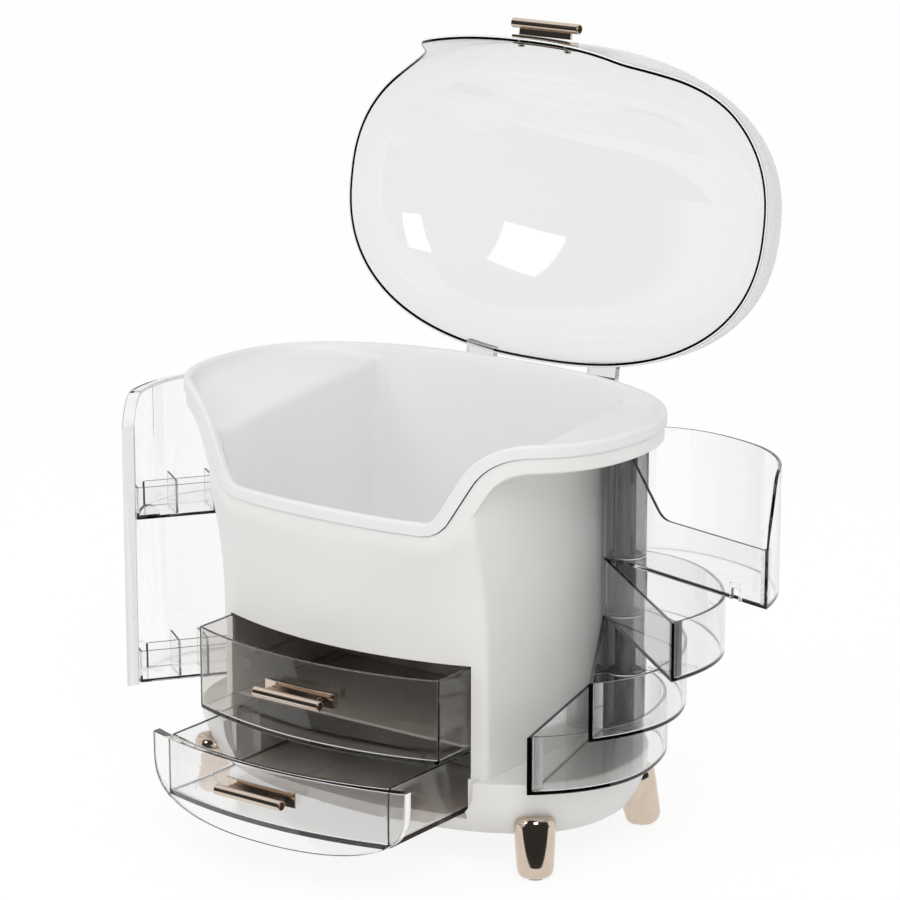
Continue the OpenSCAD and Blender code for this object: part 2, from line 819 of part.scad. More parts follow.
// Curved strip on a bowed face, standing out by t from radius r0
module bowed_strip(front, z, half, half_h, r0, t) {
    translate([0, r0 - front, z - half_h]) intersection() {
        difference() {
            cylinder(r = r0 + t, h = 2 * half_h, $fn = 180);
            translate([0, 0, -1]) cylinder(r = r0, h = 2 * half_h + 2, $fn = 180);
        }
        translate([-half, -far, 0]) cube([2 * half, far, 2 * half_h]);
    }
}

screw_half = 17;
face_plate_t = 1.5;
handle_stand = 7;                               // clear space behind a bar handle

// Holes for the two screws of a handle on a bowed face
module face_holes(front, z, r) {
    for (sx = [-1, 1])
        translate([sx * screw_half, -front - 10, z]) rotate([-90, 0, 0]) cylinder(r = r, h = 22);
}

// Bar held off a curved back strip by a thin web
module face_bar(front, z, stand) {
    difference() {
        union() {
            translate([0, -front - face_plate_t - 0.1 - stand - handle_d / 2, z])
                bar(handle_length, handle_d / 2);
            translate([-handle_length / 2 + 4, -front - face_plate_t - 0.1 - stand - 2, z - 1.2])
                cube([handle_length - 8, stand + 2 - fit, 2.4]);
        }
        face_holes(front, z, 1.2);
    }
}

module face_plate(front, z, r) {
    difference() {
        bowed_strip(front + fit, z, handle_length / 2 + 1, 5, r, face_plate_t);
        face_holes(front, z, 1.2);
    }
}

module face_screws(front, z, wall) {
    for (sx = [-1, 1])
        translate([sx * screw_half, -front + wall + 2.4, z]) rotate([90, 0, 0]) screw(6.5, 1.15, 2.6);
}

upper_front = col_front + 0.2;
upper_handle_z = upper_z0 + upper_drawer_height * 0.6;
upper_half = half_open - 0.5;

module upper_slide() { translate([0, -upper_drawer_out, 0]) children(); }

module upper_drawer_box() {
    color("dimgray", 0.6) upper_slide() difference() {
        bowed_box(upper_front, 66, upper_half, upper_z0, upper_drawer_height, drawer_wall);
        face_holes(upper_front, upper_handle_z, 1.2);
    }
}

module upper_handle_bar() {
    color("rosybrown") upper_slide() face_bar(upper_front, upper_handle_z, handle_stand);
}

module upper_handle_plate() {
    color("rosybrown") upper_slide() face_plate(upper_front, upper_handle_z, bow_radius);
}

module upper_handle_screws() {
    color("silver") upper_slide() face_screws(upper_front, upper_handle_z, drawer_wall);
}

lower_face = oval_depth(0, plinth_inset) + 0.4;
ear_radius = 350;                               // bow of the lower front panel, as the plinth's
lower_box_front = lower_face - 3.2;
lower_handle_z = lower_z0 + lower_drawer_height * 0.6;

module lower_slide() { translate([0, -lower_drawer_out, 0]) children(); }

module lower_drawer_box() {
    color("dimgray", 0.6) lower_slide() difference() {
        bowed_box(lower_box_front, 66, lower_half, lower_z0, lower_drawer_height, drawer_wall);
        face_holes(lower_face, lower_handle_z, 1.2);
    }
}

// Bowed panel with a straight top and a smile-shaped lower edge
module lower_drawer_front() {
    color("dimgray", 0.6) lower_slide() difference() {
        intersection() {
            slab(ear_half, 0, lower_z0 + lower_drawer_height);
            translate([0, ear_radius - lower_face, 0]) cylinder(r = ear_radius, h = far, $fn = 180);
            rotate([90, 0, 0]) linear_extrude(far) smile(0);
        }
        translate([0, bow_radius - lower_box_front, 0])
            cylinder(r = bow_radius + fit, h = far, $fn = 180);
        face_holes(lower_face, lower_handle_z, 1.2);
    }
}

module lower_handle_bar() {
    color("rosybrown") lower_slide() face_bar(lower_face, lower_handle_z, handle_stand);
}

module lower_handle_plate() {
    color("rosybrown") lower_slide() face_plate(lower_face, lower_handle_z, ear_radius);
}

module lower_handle_screws() {
    color("silver") lower_slide() face_screws(lower_face, lower_handle_z, 3.2 + drawer_wall);
}

// ---------- swivel trays ----------

tray_angles = [lower_tray_angle, middle_tray_angle, upper_tray_angle, bin_angle];

// Level of each swivel part, to the hundredth so that stacked faces meet exactly
function tray_z(k) = round(100 * (deck_z + k * tray_pitch)) / 100;

module swivel(angle) {
    translate([pivot_x, pivot_y, 0]) rotate([0, 0, angle]) translate([-pivot_x, -pivot_y, 0])
        children();
}

tray_back = pivot_y + 9;

// Plan of a tray: the case's oval outside, straight along the column, round about the pivot
module tray_plan(inset) {
    intersection() {
        polygon(oval(tray_inset + inset));
        union() {
            translate([tray_side + inset, -far]) square([far, far + pivot_y]);
            translate([pivot_x, -far]) square([far, far + tray_back - inset]);
        }
    }
}

module tray_floor_and_wall(z0, z1) {
    difference() {
        translate([0, 0, z0]) linear_extrude(z1 - z0) tray_plan(0);
        difference() {
            translate([0, 0, z0 + 2]) linear_extrude(z1 - z0) tray_plan(tray_wall);
            translate([tray_side, -far, 0])
                cube([far, far - oval_depth(tray_side, tray_inset) + 7, far]);
        }
    }
}

module barrel(z0, z1) {
    translate([pivot_x, pivot_y, z0]) {
        difference() {
            cylinder(r = barrel_r, h = z1 - z0);
            translate([0, 0, 2]) cylinder(r = barrel_r - tray_wall, h = z1 - z0);
        }
        cylinder(r = sleeve_r, h = z1 - z0);
    }
}

module rod_bore() {
    translate([pivot_x, pivot_y, 0]) cylinder(r = rod_r + fit, h = rim_top);
}

module swivel_tray(k) {
    z0 = tray_z(k) + washer_t;
    z1 = tray_z(k + 1);
    color("dimgray", 0.55) swivel(tray_angles[k]) difference() {
        union() {
            difference() {
                tray_floor_and_wall(z0, z1);
                translate([pivot_x, pivot_y, z0 - 1]) cylinder(r = barrel_r - 0.5, h = z1 - z0 + 2);
            }
            barrel(z0, z1);
        }
        rod_bore();
    }
}

module lower_tray() { swivel_tray(0); }
module middle_tray() { swivel_tray(1); }
module upper_tray() { swivel_tray(2); }

bin_z0 = tray_z(3) + washer_t;
bin_low = bin_z0 + 38;
catch_y = -58;

// What the bin's low straight wall leaves open, seen from the side
module bin_front_cut() {
    ramp = s_points(2, bin_low, bay_top + 14, 14, 6, 50);
    translate([tray_side - 1, 0, 0]) rotate([90, 0, 90]) linear_extrude(tray_wall + 2.5)
        polygon(concat([[-far, bay_top + 60], [-far, bin_low]], ramp, [[far, bay_top + 60]]));
}

module top_bin() {
    color("lightgray", 0.45) swivel(tray_angles[3]) difference() {
        union() {
            difference() {
                intersection() {
                    tray_floor_and_wall(bin_z0, bay_top);
                    below_rim(under_drop + 1.2);
                }
                translate([pivot_x, pivot_y, bin_z0 - 1])
                    cylinder(r = barrel_r - 0.5, h = bay_top - bin_z0 + 2);
                bin_front_cut();
            }
            barrel(bin_z0, bay_top);
        }
        rod_bore();
        translate([tray_side - 1, catch_y - 5, bin_z0 - 1]) cube([tray_wall + 1.2, 10, 12]);
    }
}

// Small clear catch that fills the notch at the foot of the bin's low wall
module bin_catch() {
    color("lightgray", 0.6) swivel(tray_angles[3]) difference() {
        translate([tray_side, catch_y - 4.9, bin_z0]) cube([tray_wall, 9.8, 10.9]);
        translate([tray_side - 1, catch_y - 3.2, bin_z0 - 1]) cube([tray_wall + 2, 6.4, 8.6]);
    }
}

module tray_pivot_rod() {
    color("silver") translate([pivot_x, pivot_y, pin_foot]) cylinder(r = rod_r, h = pin_head - pin_foot);
}

module tray_washers() {
    color("whitesmoke") for (k = [0 : 3])
        translate([pivot_x, pivot_y, tray_z(k)]) difference() {
            cylinder(r = sleeve_r, h = washer_t - fit);
            translate([0, 0, -1]) cylinder(r = rod_r + fit, h = 3);
        }
}

// ---------- door ----------

door_z0 = deck_z + 1;

module door_swing() {
    translate([-pivot_x, pivot_y, 0]) rotate([0, 0, -door_angle]) translate([pivot_x, -pivot_y, 0])
        children();
}

door_barrel_r = 7;
door_inset = 0.8;                               // door's outside behind the rim's plan
door_tip = tray_side + 2;                       // free edge of the closed door
door_lip = 7;                                   // depth of the turned-in free edge

module door_plan(inset) {
    intersection() {
        polygon(oval(door_inset + inset));
        translate([-far - door_tip, -far]) square([far, far + tray_back]);
    }
}

module door_hinge_web() {
    difference() {
        translate([-pivot_x, pivot_y, door_z0]) cylinder(r = door_barrel_r, h = bay_top - door_z0);
        translate([-pivot_x, pivot_y, 0]) cylinder(r = door_pin_r + fit, h = rim_top);
    }
    difference() {
        translate([-half_w, pivot_y - 1.2, door_z0])
            cube([half_w - pivot_x - door_barrel_r + 1, 2.4, bay_top - door_z0]);
        door_outside();
    }
}

module door_outside() {
    difference() {
        translate([-far, -far / 2, 0]) cube([far, far, rim_top]);
        oval_prism(door_inset + 1, -1, rim_top + 1);
    }
}

module door_panel() {
    color("azure", 0.4) door_swing() intersection() {
        union() {
            difference() {
                translate([0, 0, door_z0]) linear_extrude(bay_top - door_z0) door_plan(0);
                difference() {
                    oval_prism(door_inset + door_wall, 0, rim_top + 1);
                    difference() {
                        translate([-door_tip - door_wall, -far, 0]) cube([far, far, far]);
                        oval_prism(door_inset + door_lip, -1, rim_top + 2);
                    }
                }
            }
            door_hinge_web();
        }
        below_rim(under_drop + 1.2);
    }
}

door_shelf_depth = 22;                          // height of the shelves' front walls
upper_shelf_z = bin_z0 - 2;
lower_shelf_z = door_z0 + 1.5;
shelf_face = door_tip + 0.2;                    // front plane of the shelves, door closed
shelf_start = -oval_depth(door_tip + door_wall, door_inset + door_lip) + gap;
shelf_end = 36;

// D-shaped shelf: floor, straight front wall, low back wall and two end walls
module door_shelf(z) {
    t = 1.8;
    low_rise = door_shelf_depth - 3;
    intersection() {
        union() {
            translate([-far, -far, z]) cube([far, 2 * far, t]);
            translate([-shelf_face - t, -far, z]) cube([t, 2 * far, door_shelf_depth]);
            translate([-shelf_face - 28, shelf_start, z]) cube([t, 200, low_rise]);
            translate([-far, shelf_end - t, z]) cube([far, t, low_rise]);
            translate([-far, shelf_start, z]) cube([far, t, door_shelf_depth]);
        }
        oval_prism(door_inset + door_wall + gap, 0, rim_top);
        translate([-far - shelf_face, shelf_start, 0]) cube([far, shelf_end - shelf_start, far]);
    }
}

module door_upper_shelf() { color("azure", 0.45) door_swing() door_shelf(upper_shelf_z); }
module door_lower_shelf() { color("azure", 0.45) door_swing() door_shelf(lower_shelf_z); }

// Upright dividers between the shelf's front wall and back wall
module dividers(z, ys, rise) {
    for (y = ys)
        translate([-shelf_face - 26.2, y, z + 1.8]) cube([24.4, 1.6, door_shelf_depth + rise - 1.8]);
}

module door_upper_dividers() {
    color("dimgray", 0.5) door_swing() dividers(upper_shelf_z, [-52, -26, 0], 3);
}

module door_lower_dividers() {
    color("dimgray", 0.5) door_swing() dividers(lower_shelf_z, [-52, -33, -8], 5);
}

// Small tab on the upper shelf's end that clips against the column
module door_catch() {
    color("azure", 0.6) door_swing()
        translate([-shelf_face - 1.8, shelf_start + 9, upper_shelf_z + 1.8]) rotate([0, -90, 0]) difference() {
            cylinder(r = 7, h = 5);
            translate([-20, -10, -1]) cube([20, 20, 20]);
        }
}

module door_pivot_pins() {
    length = 25;
    color("silver") for (z = [pin_foot, pin_head - length])
        translate([-pivot_x, pivot_y, z]) cylinder(r = door_pin_r, h = length);
}

plinth_shell();
base_plate();
base_plate_screws();
feet();
foot_screws();
foot_pads();
column_shell();
column_screws();
back_panel();
back_panel_screws();
drawer_shelf();
drawer_guides();
top_tub();
tray_pivot_rod();
tray_washers();
door_pivot_pins();
lid_hinge_brackets();
lid_hinge_pins();
hinge_bracket_screws();
lid_shell();
lid_handle_bar();
lid_handle_strip();
lid_handle_inner_plate();
lid_handle_screws();
upper_drawer_box();
upper_handle_bar();
upper_handle_plate();
upper_handle_screws();
lower_drawer_box();
lower_drawer_front();
lower_handle_bar();
lower_handle_plate();
lower_handle_screws();
door_panel();
door_upper_shelf();
door_lower_shelf();
door_upper_dividers();
door_lower_dividers();
door_catch();
lower_tray();
middle_tray();
upper_tray();
top_bin();
bin_catch();
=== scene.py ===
"""A makeup organizer with a clear hinged dome, two clear drawers, a shelf door and three swivel trays."""

import math

import bmesh
import bpy
from mathutils import Matrix, Vector


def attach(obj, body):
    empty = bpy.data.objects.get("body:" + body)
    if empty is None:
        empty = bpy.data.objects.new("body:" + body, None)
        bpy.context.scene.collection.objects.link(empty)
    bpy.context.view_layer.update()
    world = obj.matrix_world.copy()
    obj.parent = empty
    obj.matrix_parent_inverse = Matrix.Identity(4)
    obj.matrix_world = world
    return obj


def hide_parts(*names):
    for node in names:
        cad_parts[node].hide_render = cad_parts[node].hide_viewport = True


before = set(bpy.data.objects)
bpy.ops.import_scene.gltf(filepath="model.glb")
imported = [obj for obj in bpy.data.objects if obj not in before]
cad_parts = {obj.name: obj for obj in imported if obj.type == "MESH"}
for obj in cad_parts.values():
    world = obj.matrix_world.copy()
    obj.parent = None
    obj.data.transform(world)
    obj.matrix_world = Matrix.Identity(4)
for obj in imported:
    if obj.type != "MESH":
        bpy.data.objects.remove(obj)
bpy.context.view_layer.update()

# ---------------------------------------------------------------------------------------------
# Camera: a long lens a little above the tub's rim, turned to the right-hand front corner.
# ---------------------------------------------------------------------------------------------
AZIMUTH = math.radians(36.143)
ELEVATION = math.radians(15.007)
CAMERA_DISTANCE = 2.501
LENS_MM = 153.29
SENSOR_MM = 36
AIM_RIGHT = 0.01871
AIM_HEIGHT = 0.24643

camera_back = Vector((
    math.sin(AZIMUTH) * math.cos(ELEVATION),
    -math.cos(AZIMUTH) * math.cos(ELEVATION),
    math.sin(ELEVATION),
))
camera_right = Vector((math.cos(AZIMUTH), math.sin(AZIMUTH), 0))
camera = bpy.data.objects.new("camera", bpy.data.cameras.new("camera"))
camera.data.lens = LENS_MM
camera.data.sensor_width = SENSOR_MM
camera.data.clip_start = 0.1
camera.data.clip_end = 60
camera.location = Vector((0, 0, AIM_HEIGHT)) + camera_right * AIM_RIGHT + camera_back * CAMERA_DISTANCE
camera.rotation_mode = "QUATERNION"
camera.rotation_quaternion = (-camera_back).to_track_quat("-Z", "Y")
bpy.context.scene.collection.objects.link(camera)
bpy.context.scene.camera = camera

# ---------------------------------------------------------------------------------------------
# Plinth: a shallow bowl of gloss white ABS, injection moulded in one shot. Its deck carries the
# column and the side bays, and a recess in its front takes the lower drawer.
# ---------------------------------------------------------------------------------------------
MM = 0.001
HALF_WIDTH = 170                 # the tub rim's plan, which every outline follows
HALF_DEPTH = 108
OVAL_POWER = 2.38
OVAL_STEPS = 192
DECK_Z = 62.5
PLINTH_BOTTOM = 25
PLINTH_INSET = 8
BOWL_UNDERCUT = 12
BOWL_LEVELS = 10
BOWL_LIP = 3.2                   # width of the rim round the base plate
BASE_RECESS = 3
DECK_SKIN = 40                   # the deck is one flat face from this far in
RECESS_FLOOR = 35.8
RECESS_MOUTH_HALF = 95.5
RECESS_MOUTH_BACK = 62
RECESS_HALF = 89.1
RECESS_BACK = 74
CUT_FRONT = 140                  # cutters start this far in front of the centre
CUT_TOP = 90                     # and end this high, above the deck
ABS_WHITE = "#F5F5F3"
ABS_SHADE = "#F0EFEC"


def signed_power(value, power):
    return math.copysign(abs(value) ** power, value)


def oval_arc(inset, start, end, steps):
    """Points in mm along the rim's oval plan, moved inward by inset, between two angles."""
    points = []
    for k in range(steps + 1):
        angle = start + (end - start) * k / steps
        points.append((
            (HALF_WIDTH - inset) * signed_power(math.cos(angle), 2 / OVAL_POWER),
            (HALF_DEPTH - inset) * signed_power(math.sin(angle), 2 / OVAL_POWER),
        ))
    return points


def oval(inset):
    """Points once round the oval plan, moved inward by inset."""
    return oval_arc(inset, 0, math.tau, OVAL_STEPS)[:-1]


def oval_depth(x, inset=0):
    """Half depth of the oval plan at a given x."""
    share = min(1, abs(x) / (HALF_WIDTH - inset))
    return (HALF_DEPTH - inset) * (1 - share ** OVAL_POWER) ** (1 / OVAL_POWER)


def rounded(points, radii, steps=4):
    """A polyline with each corner replaced by a short curve; a radius of 0 keeps the corner."""
    reach = 0.48                                # a curve takes just under half of each side
    out = []
    for i, (point, radius) in enumerate(zip(points, radii)):
        point = Vector(point)
        if radius == 0:
            out.append(point)
            continue
        before = Vector(points[i - 1]) - point
        after = Vector(points[(i + 1) % len(points)]) - point
        start = point + before.normalized() * min(radius, before.length * reach)
        end = point + after.normalized() * min(radius, after.length * reach)
        for k in range(steps + 1):
            t = k / steps
            out.append(start * (1 - t) ** 2 + point * (2 * t * (1 - t)) + end * t ** 2)
    return out


def new_piece(name, points, faces, body):
    """An object from points in mm and faces, riding on a body."""
    mesh = bpy.data.meshes.new(name)
    mesh.from_pydata([tuple(c * MM for c in p) for p in points], [], faces)
    work = bmesh.new()
    work.from_mesh(mesh)
    bmesh.ops.remove_doubles(work, verts=work.verts, dist=1e-6)
    bmesh.ops.dissolve_degenerate(work, edges=work.edges, dist=1e-7)
    bmesh.ops.recalc_face_normals(work, faces=work.faces)
    work.to_mesh(mesh)
    work.free()
    piece = bpy.data.objects.new(name, mesh)
    bpy.context.scene.collection.objects.link(piece)
    if body:
        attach(piece, body)
    return piece


def loft(name, sections, body, ring=False, caps=(True, True)):
    """A skin over sections that run round a closed path; ring closes each section on itself."""
    count = len(sections[0])
    points = [p for section in sections for p in section]
    faces = []
    for i in range(len(sections)):
        here = i * count
        there = (i + 1) % len(sections) * count
        for k in range(count if ring else count - 1):
            nxt = (k + 1) % count
            faces.append((here + k, there + k, there + nxt, here + nxt))
    if not ring:
        if caps[0]:
            faces.append([i * count for i in range(len(sections))])
        if caps[1]:
            faces.append([i * count + count - 1 for i in range(len(sections))][::-1])
    return new_piece(name, points, faces, body)


def wall_sections(plan, profile):
    """Sections for a loft: plan(inset) gives a loop, and profile lists (inset, z, radius)."""
    flat = rounded([(p[0], p[1]) for p in profile], [p[2] for p in profile])
    loops = [plan(inset) for inset, z in flat]
    return [
        [(loop[i][0], loop[i][1], z) for loop, (inset, z) in zip(loops, flat)]
        for i in range(len(loops[0]))
    ]


def block(name, low, high):
    """A box between two corners, in mm, to cut with."""
    corners = [(x, y, z) for x in (low[0], high[0]) for y in (low[1], high[1]) for z in (low[2], high[2])]
    faces = [(0, 1, 3, 2), (4, 6, 7, 5), (0, 4, 5, 1), (2, 3, 7, 6), (0, 2, 6, 4), (1, 5, 7, 3)]
    return new_piece(name, corners, faces, None)


def combine(piece, others, operation):
    """Adds other solids to the piece or takes them out of it, and removes them."""
    for other in others:
        modifier = piece.modifiers.new("combine", "BOOLEAN")
        modifier.operation = operation
        modifier.solver = "EXACT"
        modifier.object = other
    graph = bpy.context.evaluated_depsgraph_get()
    mesh = bpy.data.meshes.new_from_object(piece.evaluated_get(graph))
    piece.modifiers.clear()
    piece.data = mesh
    for other in others:
        bpy.data.objects.remove(other)


def cut(piece, *cutters):
    combine(piece, cutters, "DIFFERENCE")


def join(piece, *others):
    combine(piece, others, "UNION")


def round_edges(piece, width, angle):
    """Rounds the edges that bend by more than angle, in degrees."""
    bevel = piece.modifiers.new("edge radius", "BEVEL")
    bevel.width = width * MM
    bevel.segments = 2
    bevel.limit_method = "ANGLE"
    bevel.angle_limit = math.radians(angle)
    bevel.use_clamp_overlap = True


def weight_normals(piece):
    """Lets the large faces set the shading of the small ones beside them."""
    normals = piece.modifiers.new("weighted normals", "WEIGHTED_NORMAL")
    normals.weight = 80
    return normals


def finish_edges(piece, width, angle=30):
    """Rounds the sharp edges and shades everything else smooth."""
    if width:
        round_edges(piece, width, angle)
    piece.data.shade_smooth()
    weight_normals(piece).keep_sharp = True


def dress(piece, material, node=None):
    """Gives a piece its material, and puts it in a CAD node's place."""
    piece.data.materials.clear()
    piece.data.materials.append(material)
    if node:
        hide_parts(node)


def srgb(code):
    """A hex colour as linear red, green, blue and alpha."""
    values = [int(code[i:i + 2], 16) / 255 for i in (1, 3, 5)]
    linear = [v / 12.92 if v <= 0.04045 else ((v + 0.055) / 1.055) ** 2.4 for v in values]
    return (*linear, 1.0)


def new_material(name):
    material = bpy.data.materials.new(name)
    material.use_nodes = True
    material.node_tree.nodes.clear()
    return material


def add_node(tree, kind, settings=None, links=None):
    """A node with its settings, by input or property name, and its links."""
    node = tree.nodes.new(kind)
    for name, value in (settings or {}).items():
        if isinstance(name, int) or name in node.inputs:
            node.inputs[name].default_value = value
        else:
            setattr(node, name, value)
    for name, source in (links or {}).items():
        tree.links.new(source, node.inputs[name])
    return node


def gloss_abs(name, light, shade, roughness):
    """Moulded ABS: a bright, slightly soft gloss over a very faint orange peel."""
    material = new_material(name)
    tree = material.node_tree
    place = add_node(tree, "ShaderNodeTexCoord").outputs["Object"]
    flow_mm = 45                                # slow drift of the pigment along the melt flow
    peel_mm = 2.5                               # orange peel, drawn coarse enough to show
    flow = add_node(tree, "ShaderNodeTexNoise", {"Scale": 1 / (flow_mm * MM), "Detail": 2.0},
                    {"Vector": place})
    peel = add_node(tree, "ShaderNodeTexNoise", {"Scale": 1 / (peel_mm * MM), "Detail": 1.0},
                    {"Vector": place})
    colour = add_node(tree, "ShaderNodeMix", {"data_type": "RGBA"}, {"Factor": flow.outputs["Fac"]})
    colour.inputs[6].default_value = srgb(light)
    colour.inputs[7].default_value = srgb(shade)
    gloss = add_node(tree, "ShaderNodeMapRange", {"To Min": roughness - 0.04, "To Max": roughness + 0.05},
                     {"Value": flow.outputs["Fac"]})
    bump = add_node(tree, "ShaderNodeBump", {"Strength": 0.06, "Distance": 0.02 * MM},
                    {"Height": peel.outputs["Fac"]})
    shader = add_node(tree, "ShaderNodeBsdfPrincipled", {"IOR": 1.53}, {
        "Base Color": colour.outputs[2],
        "Roughness": gloss.outputs["Result"],
        "Normal": bump.outputs["Normal"],
    })
    add_node(tree, "ShaderNodeOutputMaterial", links={"Surface": shader.outputs["BSDF"]})
    return material


white_abs = gloss_abs("white_abs_gloss_moulded", ABS_WHITE, ABS_SHADE, 0.3)


def bowl_inset(share):
    """How far the bowl's side draws in at a share of its height."""
    return PLINTH_INSET + BOWL_UNDERCUT * (1 - share) ** 2


bowl_profile = [(DECK_SKIN, DECK_Z, 0), (PLINTH_INSET, DECK_Z, 2.2)]
for k in range(BOWL_LEVELS - 1, 0, -1):
    share = k / BOWL_LEVELS
    bowl_profile.append((bowl_inset(share), PLINTH_BOTTOM + share * (DECK_Z - PLINTH_BOTTOM), 0))
bowl_profile += [
    (bowl_inset(0), PLINTH_BOTTOM, 1.5),
    (bowl_inset(0) + BOWL_LIP, PLINTH_BOTTOM, 0.6),
    (bowl_inset(0) + BOWL_LIP, PLINTH_BOTTOM + BASE_RECESS, 0),
]
plinth = loft("plinth", wall_sections(oval, bowl_profile), "case")

EAR_HALF = 102                   # half width of the lower drawer's front panel
LOWER_TOP = 75.7                 # top of the lower drawer
SMILE_DROP = 50.4                # depth of its smile-shaped foot
SMILE_SIDE = 0.77
SMILE_FOOT = 0.46
LOWER_FACE = 100.4               # its face in front of the centre, when closed
EAR_BOW = 350
BOX_BOW = 278
LOWER_BOX_FRONT = 97.2
NOTCH_GAP = 0.6                  # round the front panel's foot and back, when closed
NOTCH_SIDE_GAP = 0.8


def bowed_depth(x, front, bow):
    """How far a bowed face stands in front of the centre line at a given x."""
    return front - bow + math.sqrt(bow ** 2 - x ** 2)


def smile_outline(half, top, drop, steps=64, top_steps=24):
    """Outline in x and z: a straight top over a smile-shaped foot."""
    points = []
    for i in range(steps + 1):
        angle = -math.pi * i / steps
        points.append((
            half * signed_power(math.cos(angle), SMILE_SIDE),
            top + drop * signed_power(math.sin(angle), SMILE_FOOT),
        ))
    for i in range(1, top_steps):
        points.append((half * (2 * i / top_steps - 1), top))
    return points


def smile_plate(name, outline, front, back, body, edge, slide=0):
    """A plate over the outline between two depth functions, its rim rounded by edge."""
    centre = (0, (outline[0][1] + min(z for x, z in outline)) / 2)
    rings = 6                                   # closer together towards the rim
    across = [1 - (1 - k / rings) ** 1.5 for k in range(1, rings + 1)]
    width = max(abs(x) for x, z in outline)
    sections = []
    for x, z in outline:
        at = [(centre[0] + (x - centre[0]) * s * (1 - edge / width),
               centre[1] + (z - centre[1]) * s * (1 - edge / width)) for s in across]
        face = [(px, -front(px) - slide, pz) for px, pz in at]
        rear = [(px, -back(px) - slide, pz) for px, pz in reversed(at)]
        rim = [(x, -front(x) + edge - slide, z), (x, -back(x) - edge - slide, z)]
        sections.append(
            [(centre[0], -front(centre[0]) - slide, centre[1])] + face + rim + rear
            + [(centre[0], -back(centre[0]) - slide, centre[1])]
        )
    return loft(name, sections, body, caps=(False, False))


notch = smile_plate(
    "notch", smile_outline(EAR_HALF + NOTCH_SIDE_GAP, LOWER_TOP, SMILE_DROP + NOTCH_GAP),
    lambda x: CUT_FRONT, lambda x: bowed_depth(x, LOWER_BOX_FRONT - NOTCH_GAP, BOX_BOW), None, 0.01,
)
cut(
    plinth, notch,
    block("mouth", (-RECESS_MOUTH_HALF, -CUT_FRONT, RECESS_FLOOR),
          (RECESS_MOUTH_HALF, -RECESS_MOUTH_BACK, CUT_TOP)),
    block("recess", (-RECESS_HALF, -RECESS_MOUTH_BACK - 1, RECESS_FLOOR),
          (RECESS_HALF, RECESS_BACK, CUT_TOP)),
)
finish_edges(plinth, 0.6)
dress(plinth, white_abs, "plinth_shell")

# ---------------------------------------------------------------------------------------------
# Feet: four die-cast pegs with a mirror rose-gold plating, each leaning outward in its pocket
# under the plinth, with a soft round pad let into its sole.
# ---------------------------------------------------------------------------------------------
FOOT_X = 136.5
FOOT_Y = 63
FOOT_TILT = math.radians(12)
FOOT_HEADING = math.radians(50)
FOOT_LENGTH = 40
FOOT_LOW_RADIUS = 11.5
FOOT_HIGH_RADIUS = 14
FOOT_LOW_ROUND = 8
FOOT_HIGH_ROUND = 7
FOOT_CENTRE = 0.5                # radius of the flat cap at the end of the profile
SOLE_Z = 1.2
ROSE_GOLD = "#D9CABC"
ROSE_GOLD_DEEP = "#C8B7A6"


def plated_rose_gold():
    """Vacuum plating over a polished casting: a mirror with a faint haze of handling marks."""
    material = new_material("rose_gold_plating_polished")
    tree = material.node_tree
    place = add_node(tree, "ShaderNodeTexCoord").outputs["Object"]
    smear_mm = 9                                # width of the haze left by wiping
    smear = add_node(tree, "ShaderNodeTexNoise", {"Scale": 1 / (smear_mm * MM), "Detail": 4.0},
                     {"Vector": place})
    colour = add_node(tree, "ShaderNodeMix", {"data_type": "RGBA"}, {"Factor": smear.outputs["Fac"]})
    colour.inputs[6].default_value = srgb(ROSE_GOLD)
    colour.inputs[7].default_value = srgb(ROSE_GOLD_DEEP)
    haze = add_node(tree, "ShaderNodeMapRange", {"To Min": 0.04, "To Max": 0.13},
                    {"Value": smear.outputs["Fac"]})
    shader = add_node(tree, "ShaderNodeBsdfPrincipled", {"Metallic": 1.0}, {
        "Base Color": colour.outputs[2],
        "Roughness": haze.outputs["Result"],
    })
    add_node(tree, "ShaderNodeOutputMaterial", links={"Surface": shader.outputs["BSDF"]})
    return material


rose_gold = plated_rose_gold()


def turned(profile, centre=(0, 0), steps=64):
    """Sections of a shape turned about a vertical axis; profile lists (radius, z)."""
    sections = []
    for i in range(steps):
        across, along = math.cos(math.tau * i / steps), math.sin(math.tau * i / steps)
        sections.append([(centre[0] + r * across, centre[1] + r * along, z) for r, z in profile])
    return sections


foot_profile = rounded(
    [(FOOT_CENTRE, 0), (FOOT_LOW_RADIUS, 0), (FOOT_HIGH_RADIUS, FOOT_LENGTH), (FOOT_CENTRE, FOOT_LENGTH)],
    [0, FOOT_LOW_ROUND, FOOT_HIGH_ROUND, 0], 8,
)
for number, (side, end) in enumerate(((-1, -1), (1, -1), (-1, 1), (1, 1)), 1):
    foot = loft("foot_%d" % number, turned(foot_profile), "case")
    heading = math.atan2(end * math.sin(FOOT_HEADING), side * math.cos(FOOT_HEADING))
    lean = (
        Matrix.Translation((side * FOOT_X * MM, end * FOOT_Y * MM, 0))
        @ Matrix.Rotation(heading, 4, "Z")
        @ Matrix.Rotation(-FOOT_TILT, 4, "Y")
    )
    foot.data.transform(lean)
    for vertex in foot.data.vertices:
        vertex.co.z = max(vertex.co.z, SOLE_Z * MM)
    foot.data.shade_smooth()
    dress(foot, rose_gold, "feet" if number == 1 else None)


def paint_node(name, material, edge=0.0):
    """Gives a carried-over node its material and, where it shows, small rounded edges."""
    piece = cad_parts[name]
    piece.data.materials.clear()
    piece.data.materials.append(material)
    if edge:
        weld = piece.modifiers.new("weld", "WELD")
        weld.merge_threshold = 1e-5
        round_edges(piece, edge, 35)


